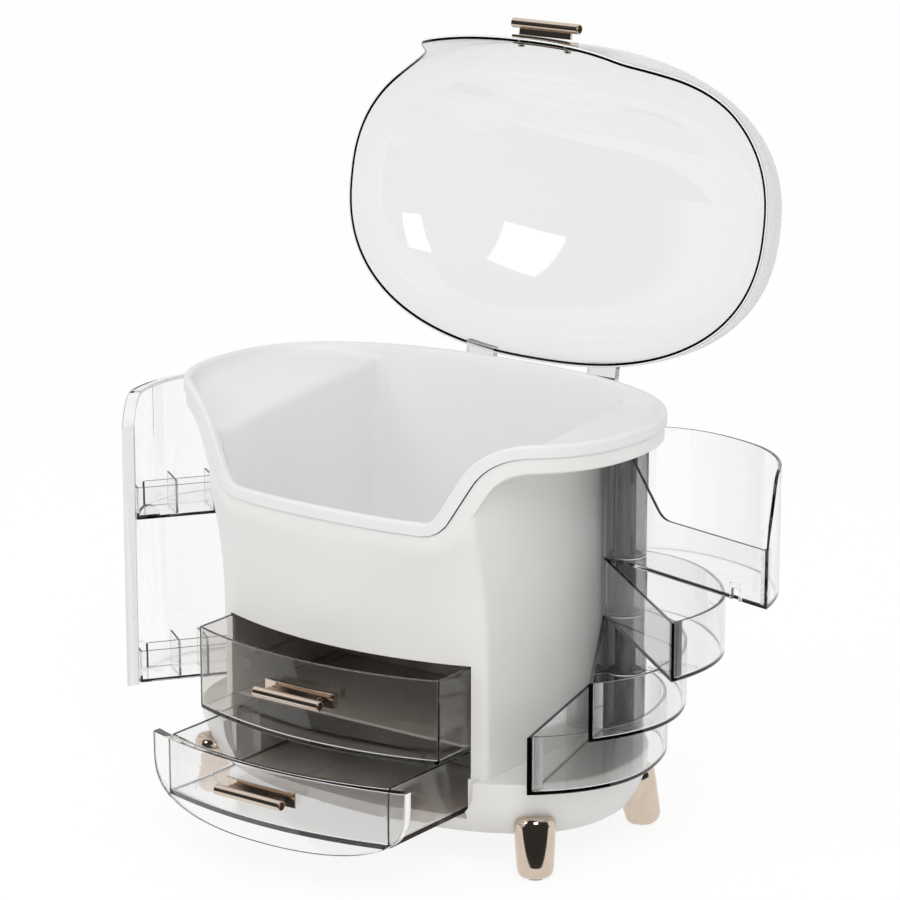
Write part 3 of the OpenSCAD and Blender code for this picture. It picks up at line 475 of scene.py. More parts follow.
def zinc_steel():
    """Zinc-plated steel: a cool satin grey with fine mottling."""
    material = new_material("zinc_plated_steel")
    tree = material.node_tree
    place = add_node(tree, "ShaderNodeTexCoord").outputs["Object"]
    spangle_mm = 0.8                            # zinc crystals, drawn coarse enough to show
    grain = add_node(tree, "ShaderNodeTexNoise", {"Scale": 1 / (spangle_mm * MM), "Detail": 3.0},
                     {"Vector": place})
    rough = add_node(tree, "ShaderNodeMapRange", {"To Min": 0.22, "To Max": 0.38},
                     {"Value": grain.outputs["Fac"]})
    shader = add_node(tree, "ShaderNodeBsdfPrincipled",
                      {"Metallic": 1.0, "Base Color": srgb("#C3C4C6")},
                      {"Roughness": rough.outputs["Result"]})
    add_node(tree, "ShaderNodeOutputMaterial", links={"Surface": shader.outputs["BSDF"]})
    return material


def soft_rubber():
    """Moulded soft pad: matt, with a fine sparked grain from its tool."""
    material = new_material("soft_pad_rubber")
    tree = material.node_tree
    place = add_node(tree, "ShaderNodeTexCoord").outputs["Object"]
    spark_mm = 0.5                              # pits of the sparked tool
    grain = add_node(tree, "ShaderNodeTexNoise", {"Scale": 1 / (spark_mm * MM), "Detail": 2.0},
                     {"Vector": place})
    bump = add_node(tree, "ShaderNodeBump", {"Strength": 0.3, "Distance": 0.05 * MM},
                    {"Height": grain.outputs["Fac"]})
    shader = add_node(tree, "ShaderNodeBsdfPrincipled",
                      {"Base Color": srgb("#D8D7D2"), "Roughness": 0.7}, {"Normal": bump.outputs["Normal"]})
    add_node(tree, "ShaderNodeOutputMaterial", links={"Surface": shader.outputs["BSDF"]})
    return material


steel = zinc_steel()
paint_node("foot_pads", soft_rubber(), 0.4)
paint_node("foot_screws", steel)
paint_node("base_plate", white_abs, 0.3)
paint_node("base_plate_screws", steel, 0.2)
paint_node("column_screws", steel)

# ---------------------------------------------------------------------------------------------
# Column: the drawer case, a gloss white ABS moulding with flat sides and a bowed front and back.
# Its front sweeps out at the top into a flange that roofs the side bays and carries the tub.
# ---------------------------------------------------------------------------------------------
COLUMN_HALF = 107
COLUMN_FRONT = 97
COLUMN_BOW = 278
COLUMN_CORNER = 9
COLUMN_WALL = 3
OPENING_HALF = 97.5
OPENING_TOP = 137.8
OPENING_CUT_LOW = 50             # below the column's foot
OPENING_CUT_BACK = 40
BACK_OPENING_HALF = 76
BACK_OPENING_LOW = 70
BACK_OPENING_TOP = 132
BACK_OPENING_CUT = 60            # the back opening's cutter starts here
FLARE_HALF = 98                  # the flare's height follows the rim this far out
BACK_FLARE_LOW = 188
FLARE_START = 45                 # the flare grows from here to the front and the back
FLARE_RUN = 25
FLARE_POWER = 2.1
RIM_TOP = 286.5
RIM_LOW = 232.5                  # bottom of the dip in the rim's front
DIP_FLAT = 74
DIP_FOOT_RADIUS = 12
DIP_TOP_RADIUS = 45
DIP_SLOPE = math.radians(60)
LIP = 8.5                        # height of the tub's lip, square to the rim's curve
BAND = 10                        # height of the flange band below it
BAND_INSET = 1.5
ROOF_THICKNESS = 2
ROOF_START = 100                 # the bays' roofs start this far out
SEAM = 0.3                       # the skin ends this far below the tub's lip
INWARD_LEAN = 1.6                # makes the way in nearly square to the rim's oval
FLANGE_EDGE = 4                  # width of the flange's top
FLANGE_REACH = 4.5               # how far its underside runs in, away from the side bays
SIDE_TOP = 268                   # top of the side walls, under the tub's sloping shelves
SIDE_FRONT = 60                  # where the side walls' top would be that high
SHELF_FALL = math.tan(math.radians(5.4))

arc_height = (DIP_FOOT_RADIUS + DIP_TOP_RADIUS) * (1 - math.cos(DIP_SLOPE))
DIP_END = (
    DIP_FLAT + (DIP_FOOT_RADIUS + DIP_TOP_RADIUS) * math.sin(DIP_SLOPE)
    + (RIM_TOP - RIM_LOW - arc_height) / math.tan(DIP_SLOPE)
)


def rim_height(x, y, drop=0.0):
    """Height of the rim curve, or of the curve that runs a constant drop below it."""
    if y >= 0:
        return RIM_TOP - drop
    across = abs(x)
    foot_radius = DIP_FOOT_RADIUS + drop
    top_radius = DIP_TOP_RADIUS - drop
    if across <= DIP_FLAT:
        return RIM_LOW - drop
    if across <= DIP_FLAT + foot_radius * math.sin(DIP_SLOPE):
        return RIM_LOW + DIP_FOOT_RADIUS - math.sqrt(foot_radius ** 2 - (across - DIP_FLAT) ** 2)
    if across >= DIP_END:
        return RIM_TOP - drop
    if across >= DIP_END - top_radius * math.sin(DIP_SLOPE):
        return RIM_TOP - DIP_TOP_RADIUS + math.sqrt(top_radius ** 2 - (DIP_END - across) ** 2)
    straight_x = DIP_FLAT + foot_radius * math.sin(DIP_SLOPE)
    straight_z = RIM_LOW + DIP_FOOT_RADIUS - foot_radius * math.cos(DIP_SLOPE)
    return straight_z + (across - straight_x) * math.tan(DIP_SLOPE)


def eased(value):
    """0 below 0 and 1 above 1, with a smooth start and end."""
    value = max(0, min(1, value))
    return value * value * (3 - 2 * value)


def column_plan(inset, front_steps=40, side_steps=10):
    """Plan of the column: flat sides, bowed front and back, and rounded corners."""
    half = COLUMN_HALF - inset
    corner = max(1.5, COLUMN_CORNER - inset)
    last = half - corner
    quarter = []
    depth = bowed_depth(last, COLUMN_FRONT - inset, COLUMN_BOW - inset)
    corner_depth = bowed_depth(half, COLUMN_FRONT - inset, COLUMN_BOW - inset)
    for k in range(side_steps):
        quarter.append((half, (corner_depth - corner) * k / side_steps))
    widest = [0, math.inf, 0]
    bend = rounded([(half, corner_depth - corner), (half, corner_depth), (last, depth)], widest, 8)
    quarter += [tuple(p) for p in bend[1:-1]]
    for k in range(front_steps):
        x = last * (1 - k / front_steps)
        quarter.append((x, bowed_depth(x, COLUMN_FRONT - inset, COLUMN_BOW - inset)))
    upper = quarter + [(0, COLUMN_FRONT - inset)] + [(-x, y) for x, y in reversed(quarter[1:])]
    return upper + [(-x, -y) for x, y in upper]


def flared(x, y, z):
    """The column's skin at height z: its front and back sweep out to the flange band."""
    if y < 0:
        start, end = OPENING_TOP, rim_height(min(abs(x), FLARE_HALF), y, LIP + BAND)
    else:
        start, end = BACK_FLARE_LOW, RIM_TOP - LIP - BAND
    reach = eased((abs(y) - FLARE_START) / FLARE_RUN)
    share = max(0, min(1, (z - start) / (end - start))) ** FLARE_POWER
    at = min(abs(x), COLUMN_HALF - COLUMN_CORNER)
    swing = oval_depth(at, BAND_INSET - 0.15) - bowed_depth(at, COLUMN_FRONT, COLUMN_BOW)
    return x, y + math.copysign(share * swing * reach, y), z


def column_sections(inset, low):
    """Vertical sections round the column, as high as the seam under the tub's lip."""
    sections = []
    levels = 36
    for x, y in column_plan(inset):
        high = rim_height(x, y, LIP + SEAM)
        if abs(x) > COLUMN_HALF - COLUMN_CORNER:
            high = min(high, SIDE_TOP + (y - SIDE_FRONT) * SHELF_FALL)
        sections.append([flared(x, y, low + (high - low) * k / levels) for k in range(levels + 1)])
    return sections


outer = column_sections(0, DECK_Z)
inner = column_sections(COLUMN_WALL, DECK_Z)
column = loft(
    "column", [o + list(reversed(i)) for o, i in zip(outer, inner)], "case", ring=True,
)
cut(column, block("opening", (-OPENING_HALF, -CUT_FRONT, OPENING_CUT_LOW),
                  (OPENING_HALF, -OPENING_CUT_BACK, OPENING_TOP)))
cut(column, block("back opening", (-BACK_OPENING_HALF, BACK_OPENING_CUT, BACK_OPENING_LOW),
                  (BACK_OPENING_HALF, CUT_FRONT, BACK_OPENING_TOP)))
finish_edges(column, 0.7, 40)
dress(column, white_abs, "column_shell")

flange_sections = []
for x, y in oval(BAND_INSET):
    top = rim_height(x, y, LIP + 0.05)
    foot = rim_height(x, y, LIP + BAND)
    inward = Vector((-x, -y * INWARD_LEAN)).normalized()
    if abs(x) > COLUMN_HALF - 2:                # over a bay the flange widens to a roof
        inner_end = Vector((math.copysign(COLUMN_HALF - 1.5, x), y * 0.86))
    else:
        inner_end = Vector((x, y)) + inward * FLANGE_REACH
    edge = Vector((x, y)) + inward * FLANGE_EDGE
    inner_foot = foot
    if abs(x) > ROOF_START:
        inner_foot = min(foot, SIDE_TOP - 3 + (inner_end.y - SIDE_FRONT) * SHELF_FALL)
    flat = [
        (edge.x, edge.y, top), (x, y, top), (x, y, foot),
        (inner_end.x, inner_end.y, inner_foot), (inner_end.x, inner_end.y, inner_foot + ROOF_THICKNESS),
        (edge.x, edge.y, foot + ROOF_THICKNESS),
    ]
    flange_sections.append([tuple(p) for p in rounded(flat, [0, 0.5, 1.6, 0, 0, 0])])
flange = loft("flange", flange_sections, "case", ring=True)
finish_edges(flange, 0)
dress(flange, white_abs)

acetal = gloss_abs("white_acetal_moulded", "#EFEFEC", "#E6E6E2", 0.42)
paint_node("back_panel", white_abs, 0.4)
paint_node("back_panel_screws", steel, 0.2)
paint_node("drawer_shelf", white_abs, 0.3)
paint_node("drawer_guides", acetal, 0.3)

# ---------------------------------------------------------------------------------------------
# Tub: one gloss white ABS moulding with a rounded lip, a dished shelf at each side and a deep
# well between them. It drops into the column's flange and rests on its lip.
# ---------------------------------------------------------------------------------------------
LIP_WIDTH = 5
SKIRT_INSET = 7.6
TUB_WALL = 1.38                  # thin enough to stay clear of the column's skin
RIDGE_HALF = 101.4               # the side shelves end in a soft ridge here
RIDGE_Z = 269.8
SHELF_RISE = math.tan(math.radians(10.5))
SHELF_DISH = 1.6
SHELF_SPAN = 60
WELL_HALF = 94
WELL_CORNER = 8                  # the well's corners start this far either side of the ridge
WELL_FRONT = 91.4
WELL_FLOOR = 143.3
WELL_TOP_DROP = 7                # where the well's walls start below the rim curve
LIP_UNDERSIDE = 0.985            # the lip's underside runs in to this share of the plan
FLOOR_CAP = 0.86                 # the well's floor is one flat face inside this share
FRONT_SHOULDER = (0.22, 0.09)    # soft bends of the front and back walls: shares of the
FRONT_BEND = (0.45, 0.2)         # way across and of the way down to the floor's edge
KNEE = (0.7, 0.35)

tub_abs = gloss_abs("white_abs_tub_moulded", "#F3F3F3", "#F0F0F0", 0.42)


def shelf_height(x, y):
    """Height of a side shelf: it falls to the front and towards the well, and it is dished."""
    across = max(0, abs(x) - RIDGE_HALF)
    dish = SHELF_DISH * math.sin(min(1, across / SHELF_SPAN) * math.pi)
    return RIDGE_Z + across * SHELF_RISE + y * SHELF_FALL - dish


def part_way(start, end, shares):
    """A point between two others, at its own share of the way across and of the way down."""
    across, down = shares
    return Vector((*start.xy.lerp(end.xy, across), start.z + (end.z - start.z) * down))


def tub_sections():
    """Sections from under the lip, over it, across the shelf or straight down, to the floor."""
    sections = []
    lip, inner_lip, skirt = (oval(inset) for inset in (0, LIP_WIDTH, SKIRT_INSET))
    for (ox, oy), (ix, iy), (sx, sy) in zip(lip, inner_lip, skirt):
        blend = max(0, min(1, (abs(sx) - RIDGE_HALF + WELL_CORNER) / (2 * WELL_CORNER)))
        rx = math.copysign(min(abs(sx), RIDGE_HALF - WELL_CORNER * (1 - 2 * blend + blend ** 2)), sx)
        wx = rx * WELL_HALF / RIDGE_HALF
        ridge_end = oval_depth(rx, SKIRT_INSET)
        wy = sy / ridge_end * bowed_depth(wx, WELL_FRONT, COLUMN_BOW - COLUMN_FRONT + WELL_FRONT)
        wall_z = rim_height(sx, sy) - WELL_TOP_DROP
        start = Vector((sx, sy, min(shelf_height(sx, sy), wall_z)))
        foot = Vector((wx, wy, WELL_FLOOR))
        on_shelf = abs(sx) > RIDGE_HALF - WELL_CORNER
        if on_shelf:
            middle = Vector(((sx + rx) / 2, sy, min(shelf_height((sx + rx) / 2, sy), wall_z)))
            ridge = Vector((rx, sy, min(shelf_height(rx, sy), wall_z)))
        else:
            middle = part_way(start, foot, FRONT_SHOULDER)
            ridge = part_way(start, foot, FRONT_BEND)
        knee = part_way(ridge, foot, KNEE)
        path = [
            (ox * LIP_UNDERSIDE, oy * LIP_UNDERSIDE, rim_height(ox, oy, LIP)),
            (ox, oy, rim_height(ox, oy, LIP)),
            (ox, oy, rim_height(ox, oy)), (ix, iy, rim_height(ix, iy)), start, middle, ridge, knee, foot,
            (wx * FLOOR_CAP, wy * FLOOR_CAP, WELL_FLOOR),
        ]
        bends = (9, 6, 24) if on_shelf else (9, 22, 30)
        smooth = rounded(path, [0, 1.2, 2.6, 2.6, 8, *bends, 8, 0], 5)
        sections.append([tuple(p) for p in smooth])
    return sections


tub = loft("tub", tub_sections(), "case", caps=(False, True))
thickness = tub.modifiers.new("wall", "SOLIDIFY")
thickness.thickness = TUB_WALL * MM
thickness.offset = -1
finish_edges(tub, 0)
dress(tub, tub_abs, "top_tub")

# ---------------------------------------------------------------------------------------------
# Lid hinges: white ABS brackets screwed to the back of the flange, with steel pins through them.
# ---------------------------------------------------------------------------------------------
HINGE_Y = 115.4
HINGE_Z = 275.7
HINGE_X = 50
HINGE_PIN_RADIUS = 1.5
KNUCKLE_RADIUS = 4
FIT = 0.1                        # between pieces that sit on or turn in one another

paint_node("lid_hinge_brackets", white_abs, 0.3)
paint_node("lid_hinge_pins", steel)
paint_node("hinge_bracket_screws", steel, 0.1)

# ---------------------------------------------------------------------------------------------
# Lid: a clear dome moulded in SAN, with a tongue that closes the dip in the tub's rim and two
# lugs on its back edge that swing on the hinge pins.
# ---------------------------------------------------------------------------------------------
LID_HEIGHT = 76
LID_WALL = 2.8
LID_GAP = 0.8
LID_RISE = 1.5                   # the dome starts this far above the rim
LID_ANGLE = math.radians(99.5)
DOME_POWER = 2.45
LUG_HALF = 11.6
LUG_RISE = 18.5
LUG_WALL = 5
LUG_ARM = 20                     # how far a lug's arm reaches forward over the dome
LUG_ARC_START = 105              # degrees, where the lug's web runs into its knuckle
LUG_ARC_STEPS = 17
RIM_HIGHLIGHT_SHARE = 0.4                  # share of the lid's rim face that carries the painted highlight, opaque pale white
CLEAR_IOR = 1.5


def clear_plastic(name, tint, absorption, roughness, shade=None, ripple=0.012):
    """Clear moulding: sharp refraction, a tinted body, and walls that let the lamps through."""
    material = new_material(name)
    tree = material.node_tree
    place = add_node(tree, "ShaderNodeTexCoord").outputs["Object"]
    ripple_mm = 26                              # slow waviness left by the flow in the mould
    waves = add_node(tree, "ShaderNodeTexNoise", {"Scale": 1 / (ripple_mm * MM), "Detail": 1.0},
                     {"Vector": place})
    bump = add_node(tree, "ShaderNodeBump", {"Strength": 0.5, "Distance": ripple * MM},
                    {"Height": waves.outputs["Fac"]})
    glass = add_node(tree, "ShaderNodeBsdfPrincipled", {
        "Base Color": (1, 1, 1, 1), "Roughness": roughness, "IOR": CLEAR_IOR, "Transmission Weight": 1.0,
    }, {"Normal": bump.outputs["Normal"]})
    # Lamp light passes the walls tinted by shade; a shade darker and browner than the body's tint is painted
    # shade on what lies behind the walls.
    passing = add_node(tree, "ShaderNodeBsdfTransparent", {"Color": srgb(shade or tint)})
    light_path = add_node(tree, "ShaderNodeLightPath")
    shader = add_node(tree, "ShaderNodeMixShader", links={
        0: light_path.outputs["Is Shadow Ray"], 1: glass.outputs["BSDF"], 2: passing.outputs["BSDF"],
    })
    body = add_node(tree, "ShaderNodeVolumeAbsorption", {"Color": srgb(tint), "Density": absorption})
    add_node(tree, "ShaderNodeOutputMaterial",
             links={"Surface": shader.outputs[0], "Volume": body.outputs["Volume"]})
    return material


clear = clear_plastic("clear_san_moulded", "#D8DCDB", 30, 0.01)
lid_clear = clear_plastic("clear_san_dome", "#CBCCCC", 112, 0.01)


def painted_edge_highlight():
    """A clear edge painted opaque, pale and satin: a painted highlight for the light that the clear edge
    scatters inside.
    """
    material = new_material("clear_san_edge_painted_highlight")
    tree = material.node_tree
    place = add_node(tree, "ShaderNodeTexCoord").outputs["Object"]
    chatter_mm = 6                              # pitch of the trimming cutter's marks
    chatter = add_node(tree, "ShaderNodeTexNoise", {"Scale": 1 / (chatter_mm * MM), "Detail": 1.0},
                       {"Vector": place})
    rough = add_node(tree, "ShaderNodeMapRange", {"To Min": 0.25, "To Max": 0.32},
                     {"Value": chatter.outputs["Fac"]})
    shader = add_node(tree, "ShaderNodeBsdfPrincipled", {"Base Color": srgb("#FAFBFB"), "IOR": CLEAR_IOR},
                      {"Roughness": rough.outputs["Result"]})
    add_node(tree, "ShaderNodeOutputMaterial", links={"Surface": shader.outputs["BSDF"]})
    return material


# Opaque pale white for the edges of the clear parts: a painted highlight.
edge_highlight_paint = painted_edge_highlight()


def paint_edge_highlight(piece, chosen):
    """Gives the chosen faces the painted highlight of a clear edge: opaque pale white."""
    piece.data.materials.append(edge_highlight_paint)
    for face in piece.data.polygons:
        if chosen(face.center / MM, face.normal):
            face.material_index = 1


def plan_depth(x, y):
    """How far inside the rim's plan a point lies, in mm."""
    low, high = -5.0, HALF_DEPTH - 1.0
    for _ in range(24):
        inset = (low + high) / 2
        across = (abs(x) / (HALF_WIDTH - inset)) ** OVAL_POWER
        along = (abs(y) / (HALF_DEPTH - inset)) ** OVAL_POWER
        low, high = (inset, high) if across + along < 1 else (low, inset)
    return inset


def open_lid_piece(piece):
    """Turns a lid piece, made closed, to the lid's open place."""
    hinge = Vector((0, HINGE_Y * MM, HINGE_Z * MM))
    piece.data.transform(
        Matrix.Translation(hinge) @ Matrix.Rotation(-LID_ANGLE, 4, "X") @ Matrix.Translation(-hinge)
    )


def dome_points(inset, height, index, steps=30):
    """Points of one dome surface over plan point index, from the rim up to the crown."""
    x, y = oval(inset)[index]
    points = [(x, y, rim_height(x, y) + LID_GAP)]
    for k in range(steps + 1):
        angle = math.pi / 2 * k / steps
        rise = height * math.sin(angle) ** (2 / DOME_POWER)
        shrink = max(0.0, math.cos(angle)) ** (2 / DOME_POWER)
        front = math.sqrt(max(0, 1 - (rise / height) ** 2))
        if k == steps:
            shrink = front = 0
        points.append((x * shrink, y * (front if y < 0 else shrink), RIM_TOP + LID_RISE + rise))
    return points


lid_sections = []
for i in range(OVAL_STEPS):
    inside = dome_points(LID_WALL, LID_HEIGHT - LID_WALL, i)
    outside = dome_points(0, LID_HEIGHT, i)
    middle = tuple((1 - RIM_HIGHLIGHT_SHARE) * a + RIM_HIGHLIGHT_SHARE * b for a, b in zip(outside[0], inside[0]))
    lid_sections.append(inside[::-1] + [middle] + outside)
lid = loft("lid", lid_sections, None, caps=(False, False))


def prism(name, outline, low, high, along_x=False):
    """A solid over a flat outline: upward, or along X with the outline in Y and Z."""
    if along_x:
        sections = [[(low, *p), (high, *p)] for p in outline]
    else:
        sections = [[(*p, low), (*p, high)] for p in outline]
    return loft(name, sections, None)


def circle(centre, radius, steps):
    """Points round a circle, for a bore or a round pocket."""
    points = []
    for k in range(steps):
        angle = math.tau * k / steps
        points.append((centre[0] + radius * math.cos(angle), centre[1] + radius * math.sin(angle)))
    return points


lug_outline = rounded(
    [(KNUCKLE_RADIUS, 0), (KNUCKLE_RADIUS, LUG_RISE + LUG_WALL), (-LUG_ARM, LUG_RISE + LUG_WALL),
     (-LUG_ARM, LUG_RISE), (KNUCKLE_RADIUS - LUG_WALL, LUG_RISE)],
    [0, 4, 0, 0, 3],
)
for k in range(LUG_ARC_STEPS):
    angle = math.radians(LUG_ARC_START + (360 - LUG_ARC_START) * k / LUG_ARC_STEPS)
    lug_outline.append(Vector((KNUCKLE_RADIUS * math.cos(angle), KNUCKLE_RADIUS * math.sin(angle))))
lug_outline = [(HINGE_Y + y, HINGE_Z + z) for y, z in lug_outline]
pin_bore = circle((HINGE_Y, HINGE_Z), HINGE_PIN_RADIUS + FIT, 24)
lugs = []
for side in (-1, 1):
    span = (side * HINGE_X - LUG_HALF, side * HINGE_X + LUG_HALF)
    lug = prism("lug", lug_outline, *span, along_x=True)
    cut(
        lug,
        prism("inside", oval(LID_WALL - 0.6), RIM_LOW, RIM_TOP + LID_HEIGHT),
        prism("pin bore", pin_bore, span[0] - 1, span[1] + 1, along_x=True),
    )
    lugs.append(lug)
join(lid, *lugs)
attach(lid, "lid")
dress(lid, lid_clear, "lid_shell")
# The underside of the lid's rim gets the painted highlight of opaque pale white.
paint_edge_highlight(
    lid, lambda at, normal: normal.z < -0.3 and -FIT < plan_depth(at.x, at.y) < LID_WALL * RIM_HIGHLIGHT_SHARE,
)
lid.data.materials.append(clear)
for face in lid.data.polygons:
    if face.center.y > (HALF_DEPTH + 0.3) * MM:        # the lugs, behind the rim
        face.material_index = 2
open_lid_piece(lid)
finish_edges(lid, 0.3, 50)

# ---------------------------------------------------------------------------------------------
# Lid handle: a rose-gold bar on a rib, clipped to the tongue by a curved strip outside and a
# plate inside, with two screws through the wall.
# ---------------------------------------------------------------------------------------------
HANDLE_LENGTH = 53
HANDLE_RADIUS = 3.4
HANDLE_BORE = 2.5
BORE_DEPTH = 6
WEB_THICKNESS = 2.2
STRIP_HALF = 5                   # half height of every handle's strip and plate
LID_HANDLE_X = 14
LID_HANDLE_Z = RIM_LOW + 9
LID_HANDLE_STAND = 4
LID_STRIP = 2                    # thickness of the outer strip, and half its length
LID_STRIP_HALF = 23.5
LID_PLATE = 1.2                  # the same for the inner plate
LID_PLATE_HALF = 22
SLOT_X = 10
SLOT_HALF = 4


def curved_plate(name, x_range, z_range, near, thickness, edge=0.5, shift=0):
    """A strip bent to a face: near(x) is the depth of its back, and it stands out from there."""
    steps = 24
    sections = []
    corners = [(0, z_range[0]), (thickness, z_range[0]), (thickness, z_range[1]), (0, z_range[1])]
    for t, z in rounded(corners, [edge] * 4, 3):
        row = []
        for k in range(steps + 1):
            x = x_range[0] + (x_range[1] - x_range[0]) * k / steps
            row.append((x, -near(x) - t - shift, z))
        sections.append(row)
    return loft(name, sections, None)


def handle_bar(name, centre, web_depth, web_half):
    """A round bar with open ends and the web behind it; centre is the bar's middle."""
    half = HANDLE_LENGTH / 2
    flat = [
        (0.3, half - BORE_DEPTH), (HANDLE_BORE, half - BORE_DEPTH), (HANDLE_BORE, half),
        (HANDLE_RADIUS, half), (HANDLE_RADIUS, -half),
        (HANDLE_BORE, -half), (HANDLE_BORE, BORE_DEPTH - half), (0.3, BORE_DEPTH - half),
    ]
    profile = rounded(flat, [0, 0.4, 0.3, 0.6, 0.6, 0.3, 0.4, 0])
    sections = [
        [(z + centre[0], y + centre[1], -x + centre[2]) for x, y, z in section]
        for section in turned(profile, steps=48)
    ]
    bar = loft(name, sections, None)
    web = block(
        "web", (centre[0] - web_half, centre[1] + HANDLE_RADIUS - 1.5, centre[2] - WEB_THICKNESS / 2),
        (centre[0] + web_half, centre[1] + HANDLE_RADIUS + web_depth, centre[2] + WEB_THICKNESS / 2),
    )
    join(bar, web)
    return bar


def plate_piece(piece, body, node):
    """Finishes a plated piece: fine edges, its body and its rose gold."""
    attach(piece, body)
    finish_edges(piece, 0.2, 40)
    dress(piece, rose_gold, node)


lid_bar_y = -(HALF_DEPTH + FIT + LID_STRIP + FIT) - LID_HANDLE_STAND - HANDLE_RADIUS
lid_bar = handle_bar(
    "lid_handle_bar_piece", (LID_HANDLE_X, lid_bar_y, LID_HANDLE_Z), LID_HANDLE_STAND, HANDLE_LENGTH / 2 - 6,
)
lid_strip = curved_plate(
    "lid_handle_strip_piece", (LID_HANDLE_X - LID_STRIP_HALF, LID_HANDLE_X + LID_STRIP_HALF),
    (LID_HANDLE_Z - STRIP_HALF, LID_HANDLE_Z + STRIP_HALF), lambda x: oval_depth(x, -FIT), LID_STRIP,
)
lid_plate = curved_plate(
    "lid_handle_plate_piece", (LID_HANDLE_X - LID_PLATE_HALF, LID_HANDLE_X + LID_PLATE_HALF),
    (LID_HANDLE_Z - STRIP_HALF, LID_HANDLE_Z + STRIP_HALF),
    lambda x: oval_depth(x, LID_WALL + FIT + LID_PLATE), LID_PLATE, 0.3,
)
cut(lid_plate, *[
    block("slot", (LID_HANDLE_X + side * SLOT_X - SLOT_HALF, -HALF_DEPTH - 4, LID_HANDLE_Z - 1),
          (LID_HANDLE_X + side * SLOT_X + SLOT_HALF, -HALF_DEPTH + 13, LID_HANDLE_Z + 1)) for side in (-1, 1)
])
for piece, node in (
    (lid_bar, "lid_handle_bar"), (lid_strip, "lid_handle_strip"), (lid_plate, "lid_handle_inner_plate"),
):
    open_lid_piece(piece)
    plate_piece(piece, "lid", node)
paint_node("lid_handle_screws", steel, 0.2)

# ---------------------------------------------------------------------------------------------
# Drawers: boxes moulded in smoke-tinted SAN. The upper one fills the column's opening; the
# lower one runs in the plinth behind a smile-shaped front panel bonded to its face.
# ---------------------------------------------------------------------------------------------
UPPER_FRONT = 97.2
UPPER_HALF = 97
UPPER_LOW = 80.8
UPPER_HIGH = 136.8
UPPER_OUT = 33.5
UPPER_HANDLE_Z = 114.4
LOWER_HALF = 88.3
LOWER_LOW = 36.2
LOWER_OUT = 70
LOWER_HANDLE_Z = 59.9
DRAWER_WALL = 2.4
DRAWER_BACK = 66
PLATE_THICKNESS = 1.5
HANDLE_STAND = 7

# Smoke-tinted bodies, with brown shade tints that darken the lamp light passing into the drawers and the
# case behind them: painted shade.
smoke_with_painted_shade = clear_plastic("smoke_san_upper_drawer_painted_shade", "#EAE6E1", 270, 0.015, "#94785A")
lower_smoke_with_painted_shade = clear_plastic("smoke_san_lower_drawer_painted_shade", "#EBE9E6", 40, 0.015, "#B9A68C")


def drawer_plan(front, half, out):
    """A function of inset for a bowed drawer's plan."""
    def plan(inset):
        steps = 36
        reach = half - inset
        loop = []
        for k in range(steps + 1):
            x = reach * (1 - 2 * k / steps)
            loop.append((x, -bowed_depth(x, front - inset, COLUMN_BOW - inset) - out))
        loop += [(-reach, DRAWER_BACK - inset - out), (reach, DRAWER_BACK - inset - out)]
        corner = max(0.6, 2.6 - inset)
        radii = [corner] + [0] * (steps - 1) + [corner, corner, corner]
        return [tuple(p) for p in rounded(loop, radii)]
    return plan


def drawer_box(body, material, front, half, low, high, out, foot):
    """The box of a drawer, open on top; foot is the radius of its lower edges."""
    profile = [
        (6, low, 0), (0, low, foot), (0, high, 0.7), (DRAWER_WALL, high, 0.7),
        (DRAWER_WALL, low + DRAWER_WALL, 2), (DRAWER_WALL + 4, low + DRAWER_WALL, 0),
    ]
    box = loft(body + "_piece", wall_sections(drawer_plan(front, half, out), profile), body)
    finish_edges(box, 0)
    dress(box, material, body + "_box")


def face_handle(prefix, body, face, bow, z, out):
    """A bar handle on a bowed face, with its back plate and screws."""
    centre = (0, -face - PLATE_THICKNESS - FIT - HANDLE_STAND - HANDLE_RADIUS - out, z)
    bar = handle_bar(prefix + "_bar_piece", centre, HANDLE_STAND, HANDLE_LENGTH / 2 - 4)
    plate = curved_plate(
        prefix + "_plate_piece", (-HANDLE_LENGTH / 2 - 1, HANDLE_LENGTH / 2 + 1),
        (z - STRIP_HALF, z + STRIP_HALF), lambda x: bowed_depth(x, face + FIT, bow),
        PLATE_THICKNESS, 0.4, out,
    )
    plate_piece(bar, body, prefix + "_bar")
    plate_piece(plate, body, prefix + "_plate")
    paint_node(prefix + "_screws", steel, 0.2)


drawer_box("upper_drawer", smoke_with_painted_shade, UPPER_FRONT, UPPER_HALF, UPPER_LOW, UPPER_HIGH, UPPER_OUT, 2)
face_handle("upper_handle", "upper_drawer", UPPER_FRONT, COLUMN_BOW, UPPER_HANDLE_Z, UPPER_OUT)
drawer_box("lower_drawer", lower_smoke_with_painted_shade, LOWER_BOX_FRONT, LOWER_HALF, LOWER_LOW, LOWER_TOP, LOWER_OUT, 0.4)
lower_front = smile_plate(
    "lower_drawer_front_piece", smile_outline(EAR_HALF, LOWER_TOP, SMILE_DROP),
    lambda x: bowed_depth(x, LOWER_FACE, EAR_BOW),
    lambda x: bowed_depth(x, LOWER_BOX_FRONT + FIT, BOX_BOW), "lower_drawer", 0.9, LOWER_OUT,
)
finish_edges(lower_front, 0.3, 50)
dress(lower_front, lower_smoke_with_painted_shade, "lower_drawer_front")
face_handle("lower_handle", "lower_drawer", LOWER_FACE, EAR_BOW, LOWER_HANDLE_Z, LOWER_OUT)

